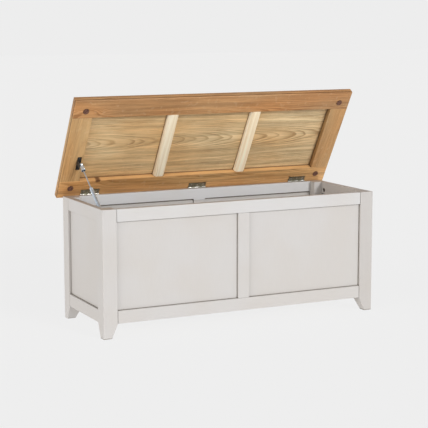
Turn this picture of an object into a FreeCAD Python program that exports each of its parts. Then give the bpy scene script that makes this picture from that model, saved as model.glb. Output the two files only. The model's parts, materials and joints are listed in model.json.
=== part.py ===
"""Storage bench: a painted frame-and-panel case with a hinged oak lid held open by a gas stay.

Frame: +X along the bench, +Y from front to back, +Z up. The origin is on the floor, under the
middle of the bench as it stands with its lid open. Lengths are millimetres.
"""
import FreeCAD, Part
import math
import os
import re

import Sketcher

DIMENSIONS = (
    ("overcut", 1.0, "how far a cutting tool runs past the face it leaves by"),
    # the painted case
    ("case_width", 1060.0, "case, over the corner posts"),
    ("case_depth", 385.0, "case, over the corner posts"),
    ("case_height", 441.0, "floor to the rim"),
    ("front_reach", 209.0, "origin to the front face of the front posts"),
    ("post_size", 52.0, "side of a square corner post"),
    ("post_ease", 1.5, "eased edge of a post"),
    ("foot_height", 50.0, "tapered foot, floor to bottom rail"),
    ("foot_sole", 30.0, "side of the foot where it meets the floor"),
    ("rail_height", 44.0, "top and bottom rails"),
    ("rail_thickness", 20.0, "rails and centre stiles"),
    ("rail_setback", 1.0, "rail face behind the post face"),
    ("rail_ease", 1.0, "eased edge of a rail"),
    ("stile_width", 44.0, "centre stile"),
    ("panel_thickness", 6.0, "painted panels"),
    ("panel_recess", 8.0, "panel face behind the rail face"),
    ("groove_depth", 7.0, "groove that holds a panel, and the tongue that fills it"),
    ("groove_gap", 1.0, "room left at a panel's edge"),
    ("groove_stop", 6.0, "wood left past each end of a post's groove"),
    ("batten_size", 18.0, "square batten under the floor"),
    ("batten_rise", 4.0, "batten above the bottom rail's lower edge"),
    ("floor_thickness", 9.0, "floor board"),
    ("floor_gap", 0.5, "floor board to rails and posts"),
    # knock-down fittings between the ends and the posts
    ("cam_radius", 7.5, "cam lock"),
    ("cam_depth", 12.0, "cam lock"),
    ("cam_inset", 20.0, "cam centre to the post"),
    ("cam_rise", 14.0, "cam centre above its rail's lower edge"),
    ("cam_bolt_bore", 3.0, "bore for the bolt that the cam pulls"),
    ("cam_bolt_radius", 2.9, "that bolt"),
    ("cam_bolt_grip", 12.0, "length of that bolt in the post"),
    # the lid, measured from the hinge axis
    ("lid_width", 1100.0, "lid, end to end"),
    ("lid_front", 408.0, "hinge axis to the lid's front edge"),
    ("lid_rear", 12.0, "hinge axis to the lid's rear edge"),
    ("lid_thickness", 26.0, "lid frame"),
    ("lid_member", 73.0, "width of the lid's rails and stiles"),
    ("lid_edge", 4.0, "rounding along the lid's outer edges"),
    ("lid_panel_thickness", 8.0, "lid panel, flush with the top"),
    ("lid_panel_lap", 10.0, "rebate that the lid panel lies in"),
    ("lid_tenon", 15.0, "length of a stile's tenon"),
    ("lid_tenon_thickness", 8.0, "stile's tenon"),
    ("lid_tenon_width", 40.0, "stile's tenon"),
    ("lid_tenon_cheek", 5.0, "wood under a tenon"),
    ("cleat_width", 40.0, "cleat across the lid panel"),
    ("cleat_bevel", 7.0, "bevel along a cleat's edges"),
    ("cleat_centre", 165.7, "cleat centre from the lid's middle"),
    ("bumper_radius", 10.5, "lid bumper"),
    ("bumper_thickness", 2.7, "lid bumper"),
    ("bumper_end_inset", 45.0, "bumper centre to the lid's end"),
    ("bumper_front_inset", 45.0, "front bumper centre to the lid's front edge"),
    ("bumper_rear_reach", 30.0, "rear bumper centre in front of the hinge axis"),
    ("lid_open_angle", 59.0, "lid as it stands open, in degrees"),
    # butt hinges
    ("lid_gap", 3.0, "rim to lid, closed"),
    ("hinge_setback", 3.0, "hinge axis behind the case's back"),
    ("hinge_length", 70.0, "hinge, along the bench"),
    ("hinge_reach", 20.5, "hinge axis to a leaf's edge"),
    ("hinge_centre", 427.0, "outer hinge from the bench's middle"),
    ("leaf_thickness", 1.2, "hinge leaf"),
    ("knuckle_radius", 2.5, "hinge knuckle"),
    ("knuckle_gap", 0.3, "between neighbouring knuckles"),
    ("knuckle_room", 0.7, "room cut round the knuckles in the lid"),
    ("leaf_step", 0.5, "plate of a leaf to the other leaf's knuckles"),
    ("pin_radius", 1.3, "hinge pin"),
    ("pin_clearance", 0.05, "running clearance round the pin"),
    ("pin_head_radius", 2.2, "head at each end of the pin"),
    ("pin_head_length", 0.8, "head at each end of the pin"),
    ("screw_radius", 1.6, "wood screw shank"),
    ("screw_head_radius", 3.0, "screw head"),
    ("screw_head_depth", 1.8, "screw head"),
    ("pan_bevel", 0.8, "bevel round a pan head"),
    ("screw_length", 14.0, "wood screw"),
    ("screw_point", 3.0, "tapered point of a wood screw"),
    ("recess_width", 0.7, "arm of the cross recess in a screw head"),
    ("recess_length", 3.4, "arm of the cross recess in a screw head"),
    ("recess_depth", 0.9, "cross recess in a screw head"),
    ("screw_spread", 24.0, "between the screws of a leaf"),
    ("screw_reach", 12.5, "hinge axis to the screws"),
    # the gas stay
    ("stay_offset", 490.0, "stay's plane from the bench's middle"),
    ("stay_lid_reach", 147.0, "hinge axis to the lid ball, along the lid"),
    ("stay_lid_drop", 15.5, "lid ball below the hinge axis, square to the lid"),
    ("stay_case_forward", 294.0, "case ball in front of the hinge axis"),
    ("stay_case_drop", 38.0, "case ball below the hinge axis"),
    ("ball_radius", 4.0, "ball stud"),
    ("ball_neck_radius", 2.2, "neck of a ball stud"),
    ("ball_clearance", 0.1, "ball in its socket"),
    ("neck_room", 0.8, "room round a ball stud's neck in its socket"),
    ("socket_radius", 6.2, "head of a socket"),
    ("socket_width", 9.0, "head of a socket, along its ball stud"),
    ("skirt_length", 30.0, "lid ball to the end of the skirt"),
    ("skirt_radius", 7.7, "skirt, outside its open end"),
    ("skirt_shoulder", 7.3, "skirt, outside its closed end"),
    ("skirt_bore", 6.7, "skirt, inside"),
    ("skirt_floor", 9.5, "lid ball to the bottom of the skirt's bore"),
    ("skirt_step", 1.0, "bottom of that bore to the skirt's shoulder"),
    ("rod_radius", 2.5, "piston rod"),
    ("rod_clearance", 0.05, "rod in its guide, piston in its tube"),
    ("tube_radius", 6.3, "stay cylinder, outside"),
    ("tube_bore", 5.5, "stay cylinder, inside"),
    ("tube_start", 12.0, "case ball to the closed end of the cylinder"),
    ("tube_floor", 3.0, "closed end of the cylinder"),
    ("guide_length", 8.0, "rod guide in the cylinder's mouth"),
    ("piston_length", 4.0, "piston"),
    ("stay_end_gap", 1.0, "room left at each end of the closed stay"),
    ("plate_thickness", 2.0, "stay brackets"),
    ("flange_width", 14.0, "lid bracket's flange"),
    ("flange_length", 54.0, "lid bracket's flange"),
    ("flange_lead", 20.5, "lid ball to the flange's front end"),
    ("flange_screw_inset", 6.5, "screw to the nearer end of the flange"),
    ("tab_length", 18.0, "lid bracket's tab"),
    ("tab_gap", 4.0, "lid bracket's tab to the socket head"),
    ("open_pivot_gap", 0.3, "room between the lid ball stud and the tab"),
    ("case_plate_width", 16.0, "case bracket"),
    ("case_plate_height", 38.0, "case bracket"),
    ("case_plate_foot", 7.0, "case bracket below its ball"),
    ("case_screw_low", 13.0, "case ball to the lower screw"),
    ("case_screw_high", 25.0, "case ball to the upper screw"),
    ("case_boss_radius", 4.0, "boss under the case ball stud"),
    ("case_neck_length", 10.0, "neck between that boss and the ball's centre"),
)
VALUES = {alias: value for alias, value, _ in DIMENSIONS}
NEAR = 1.0  # an edge counts as lying on a plane within this distance
ALONG = 0.9  # and as running along an axis when its direction's share of that axis is over this
START_CENTRE = 50.0  # a new outline's corners start on a ring about this point, in order,
START_RADIUS = 40.0  # and their constraints then pull them into place

doc = FreeCAD.newDocument("storage_bench")
sheet = doc.addObject("Spreadsheet::Sheet", "dims")
NODES = []


def fill_sheet():
    """Write every driving dimension into its own aliased cell."""
    for row, (alias, value, note) in enumerate(DIMENSIONS, start=1):
        sheet.set("A%d" % row, alias)
        sheet.set("B%d" % row, str(value))
        sheet.setAlias("B%d" % row, alias)
        sheet.set("C%d" % row, note)
    doc.recompute()


def sheet_text(text):
    """Turn plain dimension names into references to the sheet."""
    return re.sub(r"[a-z_]+", lambda word: "dims." + word.group()
                  if word.group() in VALUES else word.group(), text)


def bind(item, name, text):
    """Bind one property of an object to an expression of the driving dimensions."""
    item.setExpression(name, sheet_text(text))


def place(item, corner, turn=None):
    """Turn an object, then bind where its origin lies."""
    if turn is not None:
        item.Placement = FreeCAD.Placement(FreeCAD.Vector(), turn)
    for axis, text in zip("xyz", corner):
        bind(item, "Placement.Base." + axis, text)
    return item


def turn_about(axis, degrees):
    """A rotation about one of the frame's axes."""
    vectors = {"x": (1, 0, 0), "y": (0, 1, 0), "z": (0, 0, 1)}
    return FreeCAD.Rotation(FreeCAD.Vector(*vectors[axis]), degrees)


ALONG_X = turn_about("y", 90)
ALONG_Y = turn_about("x", -90)
ALONG_Z = turn_about("z", 0)


def box(name, corner, size):
    """A box from its lowest corner and its three sizes."""
    item = doc.addObject("Part::Box", name)
    for side, text in zip(("Length", "Width", "Height"), size):
        bind(item, side, text)
    return place(item, corner)


def rod(name, start, radius, length, turn=ALONG_Z):
    """A cylinder from the centre of its first face."""
    item = doc.addObject("Part::Cylinder", name)
    bind(item, "Radius", radius)
    bind(item, "Height", length)
    return place(item, start, turn)


def cone(name, start, radii, length, turn=ALONG_Z):
    """A cone from the centre of its first face, with the two end radii."""
    item = doc.addObject("Part::Cone", name)
    bind(item, "Radius1", radii[0])
    bind(item, "Radius2", radii[1])
    bind(item, "Height", length)
    return place(item, start, turn)


def ball(name, centre, radius):
    """A sphere."""
    item = doc.addObject("Part::Sphere", name)
    bind(item, "Radius", radius)
    return place(item, centre)


def fuse(name, items):
    """Join pieces into one solid."""
    item = doc.addObject("Part::MultiFuse", name)
    item.Shapes = items
    item.Refine = True
    return item


def cut(name, base, tools):
    """Cut tools out of a base."""
    item = doc.addObject("Part::Cut", name)
    item.Base = base
    item.Tool = tools[0] if len(tools) == 1 else fuse(name + "_tools", tools)
    return item


def group(name, items):
    """Keep several separate solids together as one node."""
    item = doc.addObject("Part::Compound", name)
    item.Links = items
    return item


def node(item, name):
    """Name a finished sub-part; the name is also its file's."""
    item.Label = name
    NODES.append(item)
    return item


def origin_plane(body, role):
    """One of a body's own origin planes."""
    return next(plane for plane in body.Origin.OriginFeatures if plane.Role == role)


def outline(body, name, role, points):
    """A closed outline in a body's origin plane, every corner bound to the sheet."""
    sketch = body.newObject("Sketcher::SketchObject", name)
    sketch.AttachmentSupport = [(origin_plane(body, role), "")]
    sketch.MapMode = "FlatFace"
    count = len(points)
    centre = FreeCAD.Vector(START_CENTRE, START_CENTRE, 0)
    arm = FreeCAD.Vector(START_RADIUS, 0, 0)
    spot = [centre + turn_about("z", 360 * k / count).multVec(arm) for k in range(count)]
    for k in range(count):
        sketch.addGeometry(Part.LineSegment(spot[k], spot[(k + 1) % count]))
    for k in range(count):
        sketch.addConstraint(Sketcher.Constraint("Coincident", k, 2, (k + 1) % count, 1))
    for k, corner in enumerate(points):
        for kind, text, start, axis in zip(("DistanceX", "DistanceY"), corner, spot[k], (-2, -1)):
            if text == "0":
                sketch.addConstraint(Sketcher.Constraint("PointOnObject", k, 1, axis))
                continue
            row = sketch.addConstraint(Sketcher.Constraint(kind, -1, 1, k, 1, start))
            bind(sketch, "Constraints[%d]" % row, text)
    return sketch


def pad(body, name, sketch, length, both_ways=False):
    """Extrude an outline, forwards or evenly both ways."""
    item = body.newObject("PartDesign::Pad", name)
    item.Profile = sketch
    if both_ways:
        item.SideType = "Symmetric"
    bind(item, "Length", length)
    return item


def pocket_through(body, name, sketch):
    """Cut an outline right through a body, both ways from its plane."""
    before = body.Shape.Volume
    item = body.newObject("PartDesign::Pocket", name)
    item.Profile = sketch
    item.SideType = "Symmetric"
    item.Type = "ThroughAll"
    doc.recompute()
    if body.Shape.Volume >= before:
        raise RuntimeError("%s cuts nothing" % name)
    return item


def edges_where(item, test):
    """Names of the edges whose middle point and direction pass a test."""
    names = []
    for number, edge in enumerate(item.Shape.Edges, start=1):
        first, last = edge.Vertexes[0].Point, edge.Vertexes[-1].Point
        if test((first + last) / 2, (last - first).normalize()):
            names.append("Edge%d" % number)
    if not names:
        raise RuntimeError("no edge found on %s" % item.Name)
    return names


def ease(body, name, kind, base, size_name, size, test):
    """Round or bevel the edges of a body that pass a test."""
    item = body.newObject("PartDesign::" + kind, name)
    item.Base = (base, edges_where(base, test))
    bind(item, size_name, size)
    doc.recompute()
    return item


def new_body(name):
    """An empty PartDesign body."""
    return doc.addObject("PartDesign::Body", name)


# ---------------------------------------------------------------------------------------------
# The four sides of the case. Each is drawn in its own frame: x along the side from its middle,
# y inwards from the post faces, z up; then turned about +Z into its place.

SIDES = {
    "front": (0, ("0", "-front_reach", "0"), "case_width"),
    "right": (90, ("case_width / 2", "case_depth / 2 - front_reach", "0"), "case_depth"),
    "back": (180, ("0", "case_depth - front_reach", "0"), "case_width"),
    "left": (270, ("-case_width / 2", "case_depth / 2 - front_reach", "0"), "case_depth"),
}
POSTS = {
    "post_front_left": (0, "-case_width / 2", "-front_reach"),
    "post_front_right": (90, "case_width / 2", "-front_reach"),
    "post_back_right": (180, "case_width / 2", "case_depth - front_reach"),
    "post_back_left": (270, "-case_width / 2", "case_depth - front_reach"),
}
PANEL_FACE = "(rail_setback + panel_recess)"
RAIL_BACK = "(rail_setback + rail_thickness)"
RAIL_LEVELS = {"top": "(case_height - rail_height)", "bottom": "foot_height"}


def onto_side(item, side):
    """Put a piece drawn in a side's own frame where that side stands."""
    degrees, corner, _ = SIDES[side]
    return place(item, corner, turn_about("z", degrees))


def make_post(name):
    """A corner post with a foot tapered on its two inner faces and a groove for each panel."""
    degrees, corner_x, corner_y = POSTS[name]
    body = new_body(name + "_body")
    square = outline(body, name + "_square", "XY_Plane",
                     [("0", "0"), ("post_size", "0"), ("post_size", "post_size"), ("0", "post_size")])
    shaft = pad(body, name + "_shaft", square, "case_height")
    doc.recompute()
    ease(body, name + "_eased", "Chamfer", shaft, "Size", "post_ease",
         lambda mid, way: abs(way.z) > ALONG)
    for plane in ("XZ_Plane", "YZ_Plane"):
        taper = outline(body, name + "_taper_" + plane[:2], plane,
                        [("foot_sole", "0"), ("post_size + overcut", "0"),
                         ("post_size + overcut", "foot_height"), ("post_size", "foot_height")])
        pocket_through(body, name + "_tapered_" + plane[:2], taper)
    rise = "case_height - foot_height - 2 * groove_stop"
    inner = "post_size - groove_depth"
    grooves = [
        box(name + "_groove_x", (inner, PANEL_FACE, "foot_height + groove_stop"),
            ("groove_depth + overcut", "panel_thickness", rise)),
        box(name + "_groove_y", (PANEL_FACE, inner, "foot_height + groove_stop"),
            ("panel_thickness", "groove_depth + overcut", rise)),
    ]
    post = cut(name + "_grooved", body, grooves)
    node(place(post, (corner_x, corner_y, "0"), turn_about("z", degrees)), name)


def make_rail(side, level):
    """A top or bottom rail with a stub tongue at each end and a groove for the panels."""
    name = "%s_%s_rail" % (side, level)
    span = SIDES[side][2]
    bottom = RAIL_LEVELS[level]
    body = new_body(name + "_body")
    section = outline(body, name + "_section", "YZ_Plane",
                      [("rail_setback", bottom), (RAIL_BACK, bottom),
                       (RAIL_BACK, bottom + " + rail_height"), ("rail_setback", bottom + " + rail_height")])
    bar = pad(body, name + "_bar", section, span + " - 2 * post_size", both_ways=True)
    doc.recompute()
    ease(body, name + "_eased", "Chamfer", bar, "Size", "rail_ease", lambda mid, way: abs(way.x) > ALONG)
    tongue_low = bottom + (" + groove_stop" if level == "bottom" else "")
    tongue = box(name + "_tongue",
                 ("post_size - groove_depth - %s / 2" % span, PANEL_FACE, tongue_low),
                 (span + " - 2 * post_size + 2 * groove_depth", "panel_thickness",
                  "rail_height - groove_stop"))
    groove_low = bottom + (" + rail_height - groove_depth" if level == "bottom" else " - overcut")
    tools = [box(name + "_groove", ("-%s / 2" % span, PANEL_FACE, groove_low),
                 (span, "panel_thickness", "groove_depth + overcut"))]
    if side in ("left", "right"):
        for end in (-1, 1):
            tools += cam_holes(name, end, span, bottom)
    rail = cut(name + "_cut", fuse(name + "_blank", [body, tongue]), tools)
    node(onto_side(rail, side), name)


def cam_spot(end, span, bottom):
    """Where a cam lock's axis meets the inside of an end rail, in the side's frame."""
    along = "%d * (%s / 2 - post_size - cam_inset)" % (end, span)
    return along, RAIL_BACK, bottom + " + cam_rise"


def cam_holes(name, end, span, bottom):
    """The cam's blind hole and the bolt's hole from the rail's end to it."""
    along, back, level = cam_spot(end, span, bottom)
    hole = rod("%s_cam_hole_%d" % (name, end + 1), (along, back + " - cam_depth", level),
               "cam_radius", "cam_depth + overcut", ALONG_Y)
    run = "(cam_inset + groove_depth + overcut)"
    start = along if end > 0 else "%s - %s" % (along, run)
    bore = rod("%s_cam_bore_%d" % (name, end + 1), (start, back + " - cam_depth / 2", level),
               "cam_bolt_bore", run, ALONG_X)
    return [hole, bore]


def make_centre_stile(side):
    """The upright between the two panels, with a tongue at each end and a groove each side."""
    name = side + "_centre_stile"
    low = "foot_height + rail_height"
    rise = "case_height - foot_height - 2 * rail_height"
    body = new_body(name + "_body")
    section = outline(body, name + "_section", "XY_Plane",
                      [("-stile_width / 2", "rail_setback"), ("stile_width / 2", "rail_setback"),
                       ("stile_width / 2", RAIL_BACK), ("-stile_width / 2", RAIL_BACK)])
    bar = pad(body, name + "_bar", section, rise)
    doc.recompute()
    ease(body, name + "_eased", "Chamfer", bar, "Size", "rail_ease",
         lambda mid, way: abs(way.z) > ALONG)
    place(body, ("0", "0", low))
    tongue = box(name + "_tongue", ("-stile_width / 2", PANEL_FACE, low + " - groove_depth"),
                 ("stile_width", "panel_thickness", rise + " + 2 * groove_depth"))
    grooves = [box("%s_groove_%d" % (name, end + 1),
                   ("%d * stile_width / 2 - %s" % (end, "groove_depth" if end > 0 else "overcut"),
                    PANEL_FACE, low + " - groove_depth - overcut"),
                   ("groove_depth + overcut", "panel_thickness",
                    rise + " + 2 * groove_depth + 2 * overcut"))
               for end in (-1, 1)]
    stile = cut(name + "_cut", fuse(name + "_blank", [body, tongue]), grooves)
    node(onto_side(stile, side), name)


def make_panel(side, name, start, length):
    """A flat panel whose edges lie in the grooves around it."""
    low = "foot_height + rail_height - groove_depth + groove_gap"
    rise = "case_height - foot_height - 2 * rail_height + 2 * groove_depth - 2 * groove_gap"
    board = box(name + "_board", (start, PANEL_FACE, low), (length, "panel_thickness", rise))
    node(onto_side(group(name + "_in_side", [board]), side), name)


def make_panels(side):
    """The panels of one side: two beside a centre stile, or one across an end."""
    span = SIDES[side][2]
    edge = "(%s / 2 - post_size + groove_depth - groove_gap)" % span
    if side in ("left", "right"):
        make_panel(side, side + "_end_panel", "-" + edge, "2 * " + edge)
        return
    inner = "(stile_width / 2 - groove_depth + groove_gap)"
    hands = ("left", "right") if side == "front" else ("right", "left")
    make_panel(side, "%s_panel_%s" % (side, hands[0]), "-" + edge, "%s - %s" % (edge, inner))
    make_panel(side, "%s_panel_%s" % (side, hands[1]), inner, "%s - %s" % (edge, inner))


def make_batten(side):
    """A square batten on the inside of a bottom rail; the floor board lies on it."""
    span = SIDES[side][2]
    name = "floor_batten_" + side
    strip = box(name + "_strip", ("post_size - %s / 2" % span, RAIL_BACK, "foot_height + batten_rise"),
                (span + " - 2 * post_size", "batten_size", "batten_size"))
    node(onto_side(group(name + "_in_side", [strip]), side), name)


def make_floor():
    """The floor board, notched round the four posts."""
    half = {"x": "(case_width / 2 - %s - floor_gap)" % RAIL_BACK,
            "y": "(case_depth / 2 - %s - floor_gap)" % RAIL_BACK}
    middle = "case_depth / 2 - front_reach"
    low = "foot_height + batten_rise + batten_size"
    board = box("floor_sheet", ("-" + half["x"], "%s - %s" % (middle, half["y"]), low),
                ("2 * " + half["x"], "2 * " + half["y"], "floor_thickness"))
    notch = "post_size + floor_gap"
    tools = []
    for across, x_text in (("left", "-case_width / 2"), ("right", "case_width / 2 - (%s)" % notch)):
        for along, y_text in (("front", "-front_reach"),
                              ("back", "case_depth - front_reach - (%s)" % notch)):
            tools.append(box("floor_notch_%s_%s" % (along, across), (x_text, y_text, low + " - overcut"),
                             (notch, notch, "floor_thickness + 2 * overcut")))
    node(cut("floor_notched", board, tools), "floor_board")


def make_cam_fittings():
    """Eight cam locks and the bolts they pull, two to each end of each end rail."""
    locks, bolts = [], []
    for side in ("left", "right"):
        span = SIDES[side][2]
        side_locks, side_bolts = [], []
        for level, bottom in RAIL_LEVELS.items():
            for end in (-1, 1):
                tag = "%s_%s_%d" % (side, level, end + 1)
                along, back, height = cam_spot(end, span, bottom)
                side_locks.append(rod("cam_lock_" + tag, (along, back + " - cam_depth", height),
                                      "cam_radius", "cam_depth", ALONG_Y))
                run = "cam_inset - cam_radius + cam_bolt_grip"
                start = along + " + cam_radius" if end > 0 else "%s - cam_radius - (%s)" % (along, run)
                side_bolts.append(rod("cam_bolt_" + tag, (start, back + " - cam_depth / 2", height),
                                      "cam_bolt_radius", run, ALONG_X))
        locks.append(onto_side(group("cam_locks_" + side, side_locks), side))
        bolts.append(onto_side(group("cam_bolts_" + side, side_bolts), side))
    node(group("cam_lock_set", locks), "cam_locks")
    node(group("cam_bolt_set", bolts), "cam_bolts")


# ---------------------------------------------------------------------------------------------
# The lid, drawn closed in its own frame: origin on the hinge axis, y towards the back, z up.

HINGE_Y = "(case_depth - front_reach + hinge_setback)"
HINGE_Z = "(case_height + lid_gap / 2)"
UNDER = "(lid_gap / 2)"
TOP = "(lid_gap / 2 + lid_thickness)"
PANEL_LOW = "(lid_gap / 2 + lid_thickness - lid_panel_thickness)"
HINGE_SPOTS = {"left": "-hinge_centre", "centre": "0", "right": "hinge_centre"}


def onto_lid(item):
    """Put a piece drawn in the lid's frame where the open lid holds it."""
    return place(item, ("0", HINGE_Y, HINGE_Z), turn_about("x", -VALUES["lid_open_angle"]))


def lid_panel_space(name):
    """The rebate that the lid panel lies in, as a cutting box."""
    width = "lid_width - 2 * lid_member + 2 * lid_panel_lap"
    depth = "lid_front + lid_rear - 2 * lid_member + 2 * lid_panel_lap"
    return box(name, ("-(%s) / 2" % width, "-lid_front + lid_member - lid_panel_lap", PANEL_LOW),
               (width, depth, "lid_panel_thickness"))


def stile_tenons(name):
    """Both stiles' tenons at both rails, as boxes in the lid's frame."""
    tenons = []
    low = UNDER + " + lid_tenon_cheek"
    for end, middle in ((0, "-(lid_width - lid_member) / 2"), (1, "(lid_width - lid_member) / 2")):
        tenons.append(box("%s_%d" % (name, end),
                          (middle + " - lid_tenon_width / 2", "-lid_front + lid_member - lid_tenon", low),
                          ("lid_tenon_width", "lid_front + lid_rear - 2 * lid_member + 2 * lid_tenon",
                           "lid_tenon_thickness")))
    return tenons


def make_lid_rail(name, near, far, outer):
    """A full-width rail of the lid frame, rounded along the lid's outside."""
    body = new_body(name + "_body")
    section = outline(body, name + "_section", "YZ_Plane", [(near, UNDER), (far, UNDER), (far, TOP),
                                                            (near, TOP)])
    bar = pad(body, name + "_bar", section, "lid_width", both_ways=True)
    doc.recompute()
    end_x = VALUES["lid_width"] / 2 - NEAR
    ease(body, name + "_round", "Fillet", bar, "Radius", "lid_edge",
         lambda mid, way: abs(mid.y - outer) < NEAR or (abs(mid.x) > end_x and abs(way.y) > ALONG))
    return body


def make_lid_frame():
    """The lid's two rails, with the panel's rebate, mortises and room for the hinge knuckles."""
    front = make_lid_rail("lid_front_rail", "-lid_front", "-lid_front + lid_member", -VALUES["lid_front"])
    tools = [lid_panel_space("front_rail_rebate")] + stile_tenons("front_rail_mortise")
    node(onto_lid(cut("lid_front_rail_cut", front, tools)), "lid_front_rail")
    rear = make_lid_rail("lid_rear_rail", "lid_rear - lid_member", "lid_rear", VALUES["lid_rear"])
    tools = [lid_panel_space("rear_rail_rebate")] + stile_tenons("rear_rail_mortise")
    for hand, middle in HINGE_SPOTS.items():
        tools.append(box("knuckle_room_" + hand,
                         (middle + " - hinge_length / 2 - overcut", "-knuckle_radius - knuckle_room",
                          UNDER + " - overcut"),
                         ("hinge_length + 2 * overcut", "2 * knuckle_radius + 2 * knuckle_room",
                          "knuckle_radius - lid_gap / 2 + knuckle_room + overcut")))
    node(onto_lid(cut("lid_rear_rail_cut", rear, tools)), "lid_rear_rail")


def make_lid_stile(hand, sign):
    """An end stile of the lid frame, rounded along the lid's end, with a tenon at each end."""
    name = "lid_%s_stile" % hand
    inner, outer = "lid_width / 2 - lid_member", "lid_width / 2"
    body = new_body(name + "_body")
    if sign < 0:
        left, right = "-(%s)" % outer, "-(%s)" % inner
    else:
        left, right = inner, outer
    section = outline(body, name + "_section", "XZ_Plane", [(left, UNDER), (right, UNDER), (right, TOP),
                                                            (left, TOP)])
    bar = pad(body, name + "_bar", section, "lid_front + lid_rear - 2 * lid_member")
    doc.recompute()
    edge_x = sign * VALUES["lid_width"] / 2
    ease(body, name + "_round", "Fillet", bar, "Radius", "lid_edge",
         lambda mid, way: abs(way.y) > ALONG and abs(mid.x - edge_x) < NEAR)
    place(body, ("0", "lid_rear - lid_member", "0"))
    tenon = stile_tenons(name + "_tenon")[0 if sign < 0 else 1]
    blank = fuse(name + "_blank", [body, tenon])
    node(onto_lid(cut(name + "_cut", blank, [lid_panel_space(name + "_rebate")])), name)


def make_lid_panel():
    """The lid's panel, laid in the frame's rebate and flush with the top."""
    width = "lid_width - 2 * lid_member + 2 * lid_panel_lap"
    depth = "lid_front + lid_rear - 2 * lid_member + 2 * lid_panel_lap"
    board = box("lid_board", ("-(%s) / 2" % width, "-lid_front + lid_member - lid_panel_lap", PANEL_LOW),
                (width, depth, "lid_panel_thickness"))
    node(onto_lid(group("lid_panel_in_lid", [board])), "lid_panel")


def make_cleat(hand, sign):
    """A bevelled cleat under the lid panel, between the rails."""
    name = "lid_cleat_" + hand
    body = new_body(name + "_body")
    half = "cleat_width / 2"
    middle = "%d * cleat_centre" % sign
    section = outline(body, name + "_section", "XZ_Plane",
                      [("%s - %s" % (middle, half), PANEL_LOW), ("%s + %s" % (middle, half), PANEL_LOW),
                       ("%s + %s" % (middle, half), UNDER + " + cleat_bevel"),
                       ("%s + %s - cleat_bevel" % (middle, half), UNDER),
                       ("%s - %s + cleat_bevel" % (middle, half), UNDER),
                       ("%s - %s" % (middle, half), UNDER + " + cleat_bevel")])
    pad(body, name + "_bar", section, "lid_front + lid_rear - 2 * lid_member")
    place(body, ("0", "lid_rear - lid_member", "0"))
    node(onto_lid(group(name + "_in_lid", [body])), name)


def make_bumpers():
    """Four round bumpers under the lid's corners, which land on the posts."""
    pads = []
    reach = "lid_width / 2 - bumper_end_inset"
    for end in (-1, 1):
        for row, y_text in enumerate(("-lid_front + bumper_front_inset", "-bumper_rear_reach")):
            pads.append(rod("bumper_%d_%d" % (end + 1, row),
                            ("%d * (%s)" % (end, reach), y_text, UNDER + " - bumper_thickness"),
                            "bumper_radius", "bumper_thickness"))
    node(onto_lid(group("bumper_set", pads)), "lid_bumpers")


def screw_blank(name, head):
    """A wood screw's body, drawn from its head's top at the origin, its point along +Z."""
    body = new_body(name + "_body")
    shank = [("screw_radius", "screw_head_depth"), ("screw_radius", "screw_length - screw_point"),
             ("0", "screw_length")]
    if head == "flat":
        profile = [("0", "0"), ("screw_head_radius", "0")] + shank
    else:
        profile = [("0", "0"), ("screw_head_radius - pan_bevel", "0"), ("screw_head_radius", "pan_bevel"),
                   ("screw_head_radius", "screw_head_depth")] + shank
    turned(body, name + "_turned", outline(body, name + "_profile", "XZ_Plane", profile))
    return body


def make_screw(name, spot, turn, head="flat"):
    """A wood screw with a cross recess, its head's top at a spot."""
    arms = [box(name + "_arm_x", ("-recess_length / 2", "-recess_width / 2", "-overcut"),
                ("recess_length", "recess_width", "recess_depth + overcut")),
            box(name + "_arm_y", ("-recess_width / 2", "-recess_length / 2", "-overcut"),
                ("recess_width", "recess_length", "recess_depth + overcut"))]
    return place(cut(name, screw_blank(name, head), arms), spot, turn)


def turned(body, name, sketch):
    """Turn an outline once round its own vertical axis."""
    item = body.newObject("PartDesign::Revolution", name)
    item.Profile = sketch
    item.ReferenceAxis = (sketch, ["V_Axis"])
    item.Angle = 360
    return item


# ---------------------------------------------------------------------------------------------
# Three butt hinges, drawn in the lid's frame with the lid closed. The case leaves and the pins
# keep still; the lid leaves open with the lid.

KNUCKLES = 5
POINT_DOWN = turn_about("x", 180)
POINT_UP = ALONG_Z
LEAVES = {
    "case": ("-(lid_gap / 2)", (0, 2, 4)),
    "lid": ("(lid_gap / 2) - leaf_thickness", (1, 3)),
}


def make_leaf(kind, hand):
    """One leaf of a hinge: a flat plate rolled into knuckles round the pin."""
    name = "hinge_%s_leaf_%s" % (kind, hand)
    low, own = LEAVES[kind]
    middle = HINGE_SPOTS[hand]
    start = "%s - hinge_length / 2" % middle
    step = "(hinge_length + knuckle_gap) / %d" % KNUCKLES
    run = "(%s - knuckle_gap)" % step
    parts = [box(name + "_plate", (start, "-hinge_reach", low),
                 ("hinge_length", "hinge_reach - knuckle_radius - leaf_step", "leaf_thickness"))]
    for k in own:
        left = "%s + %d * %s" % (start, k, step)
        parts.append(rod("%s_knuckle_%d" % (name, k), (left, "0", "0"), "knuckle_radius", run, ALONG_X))
        parts.append(box("%s_web_%d" % (name, k), (left, "-knuckle_radius - leaf_step", low),
                         (run, "knuckle_radius + leaf_step", "leaf_thickness")))
    bore = rod(name + "_bore", ("%s - overcut" % start, "0", "0"), "pin_radius + pin_clearance",
               "hinge_length + 2 * overcut", ALONG_X)
    holes = [place(screw_blank("%s_hole_%d" % (name, k + 1), "flat"), leaf_screw_spot(kind, middle, k),
                   POINT_DOWN if kind == "case" else POINT_UP) for k in (-1, 0, 1)]
    return cut(name, fuse(name + "_blank", parts), [bore] + holes)


def leaf_screw_spot(kind, middle, k):
    """The top of a leaf screw's head, level with the leaf's free face."""
    height = "lid_gap / 2 - leaf_thickness"
    return ("%s + %d * screw_spread" % (middle, k), "-screw_reach",
            ("-(%s)" if kind == "case" else "%s") % height)


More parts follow.
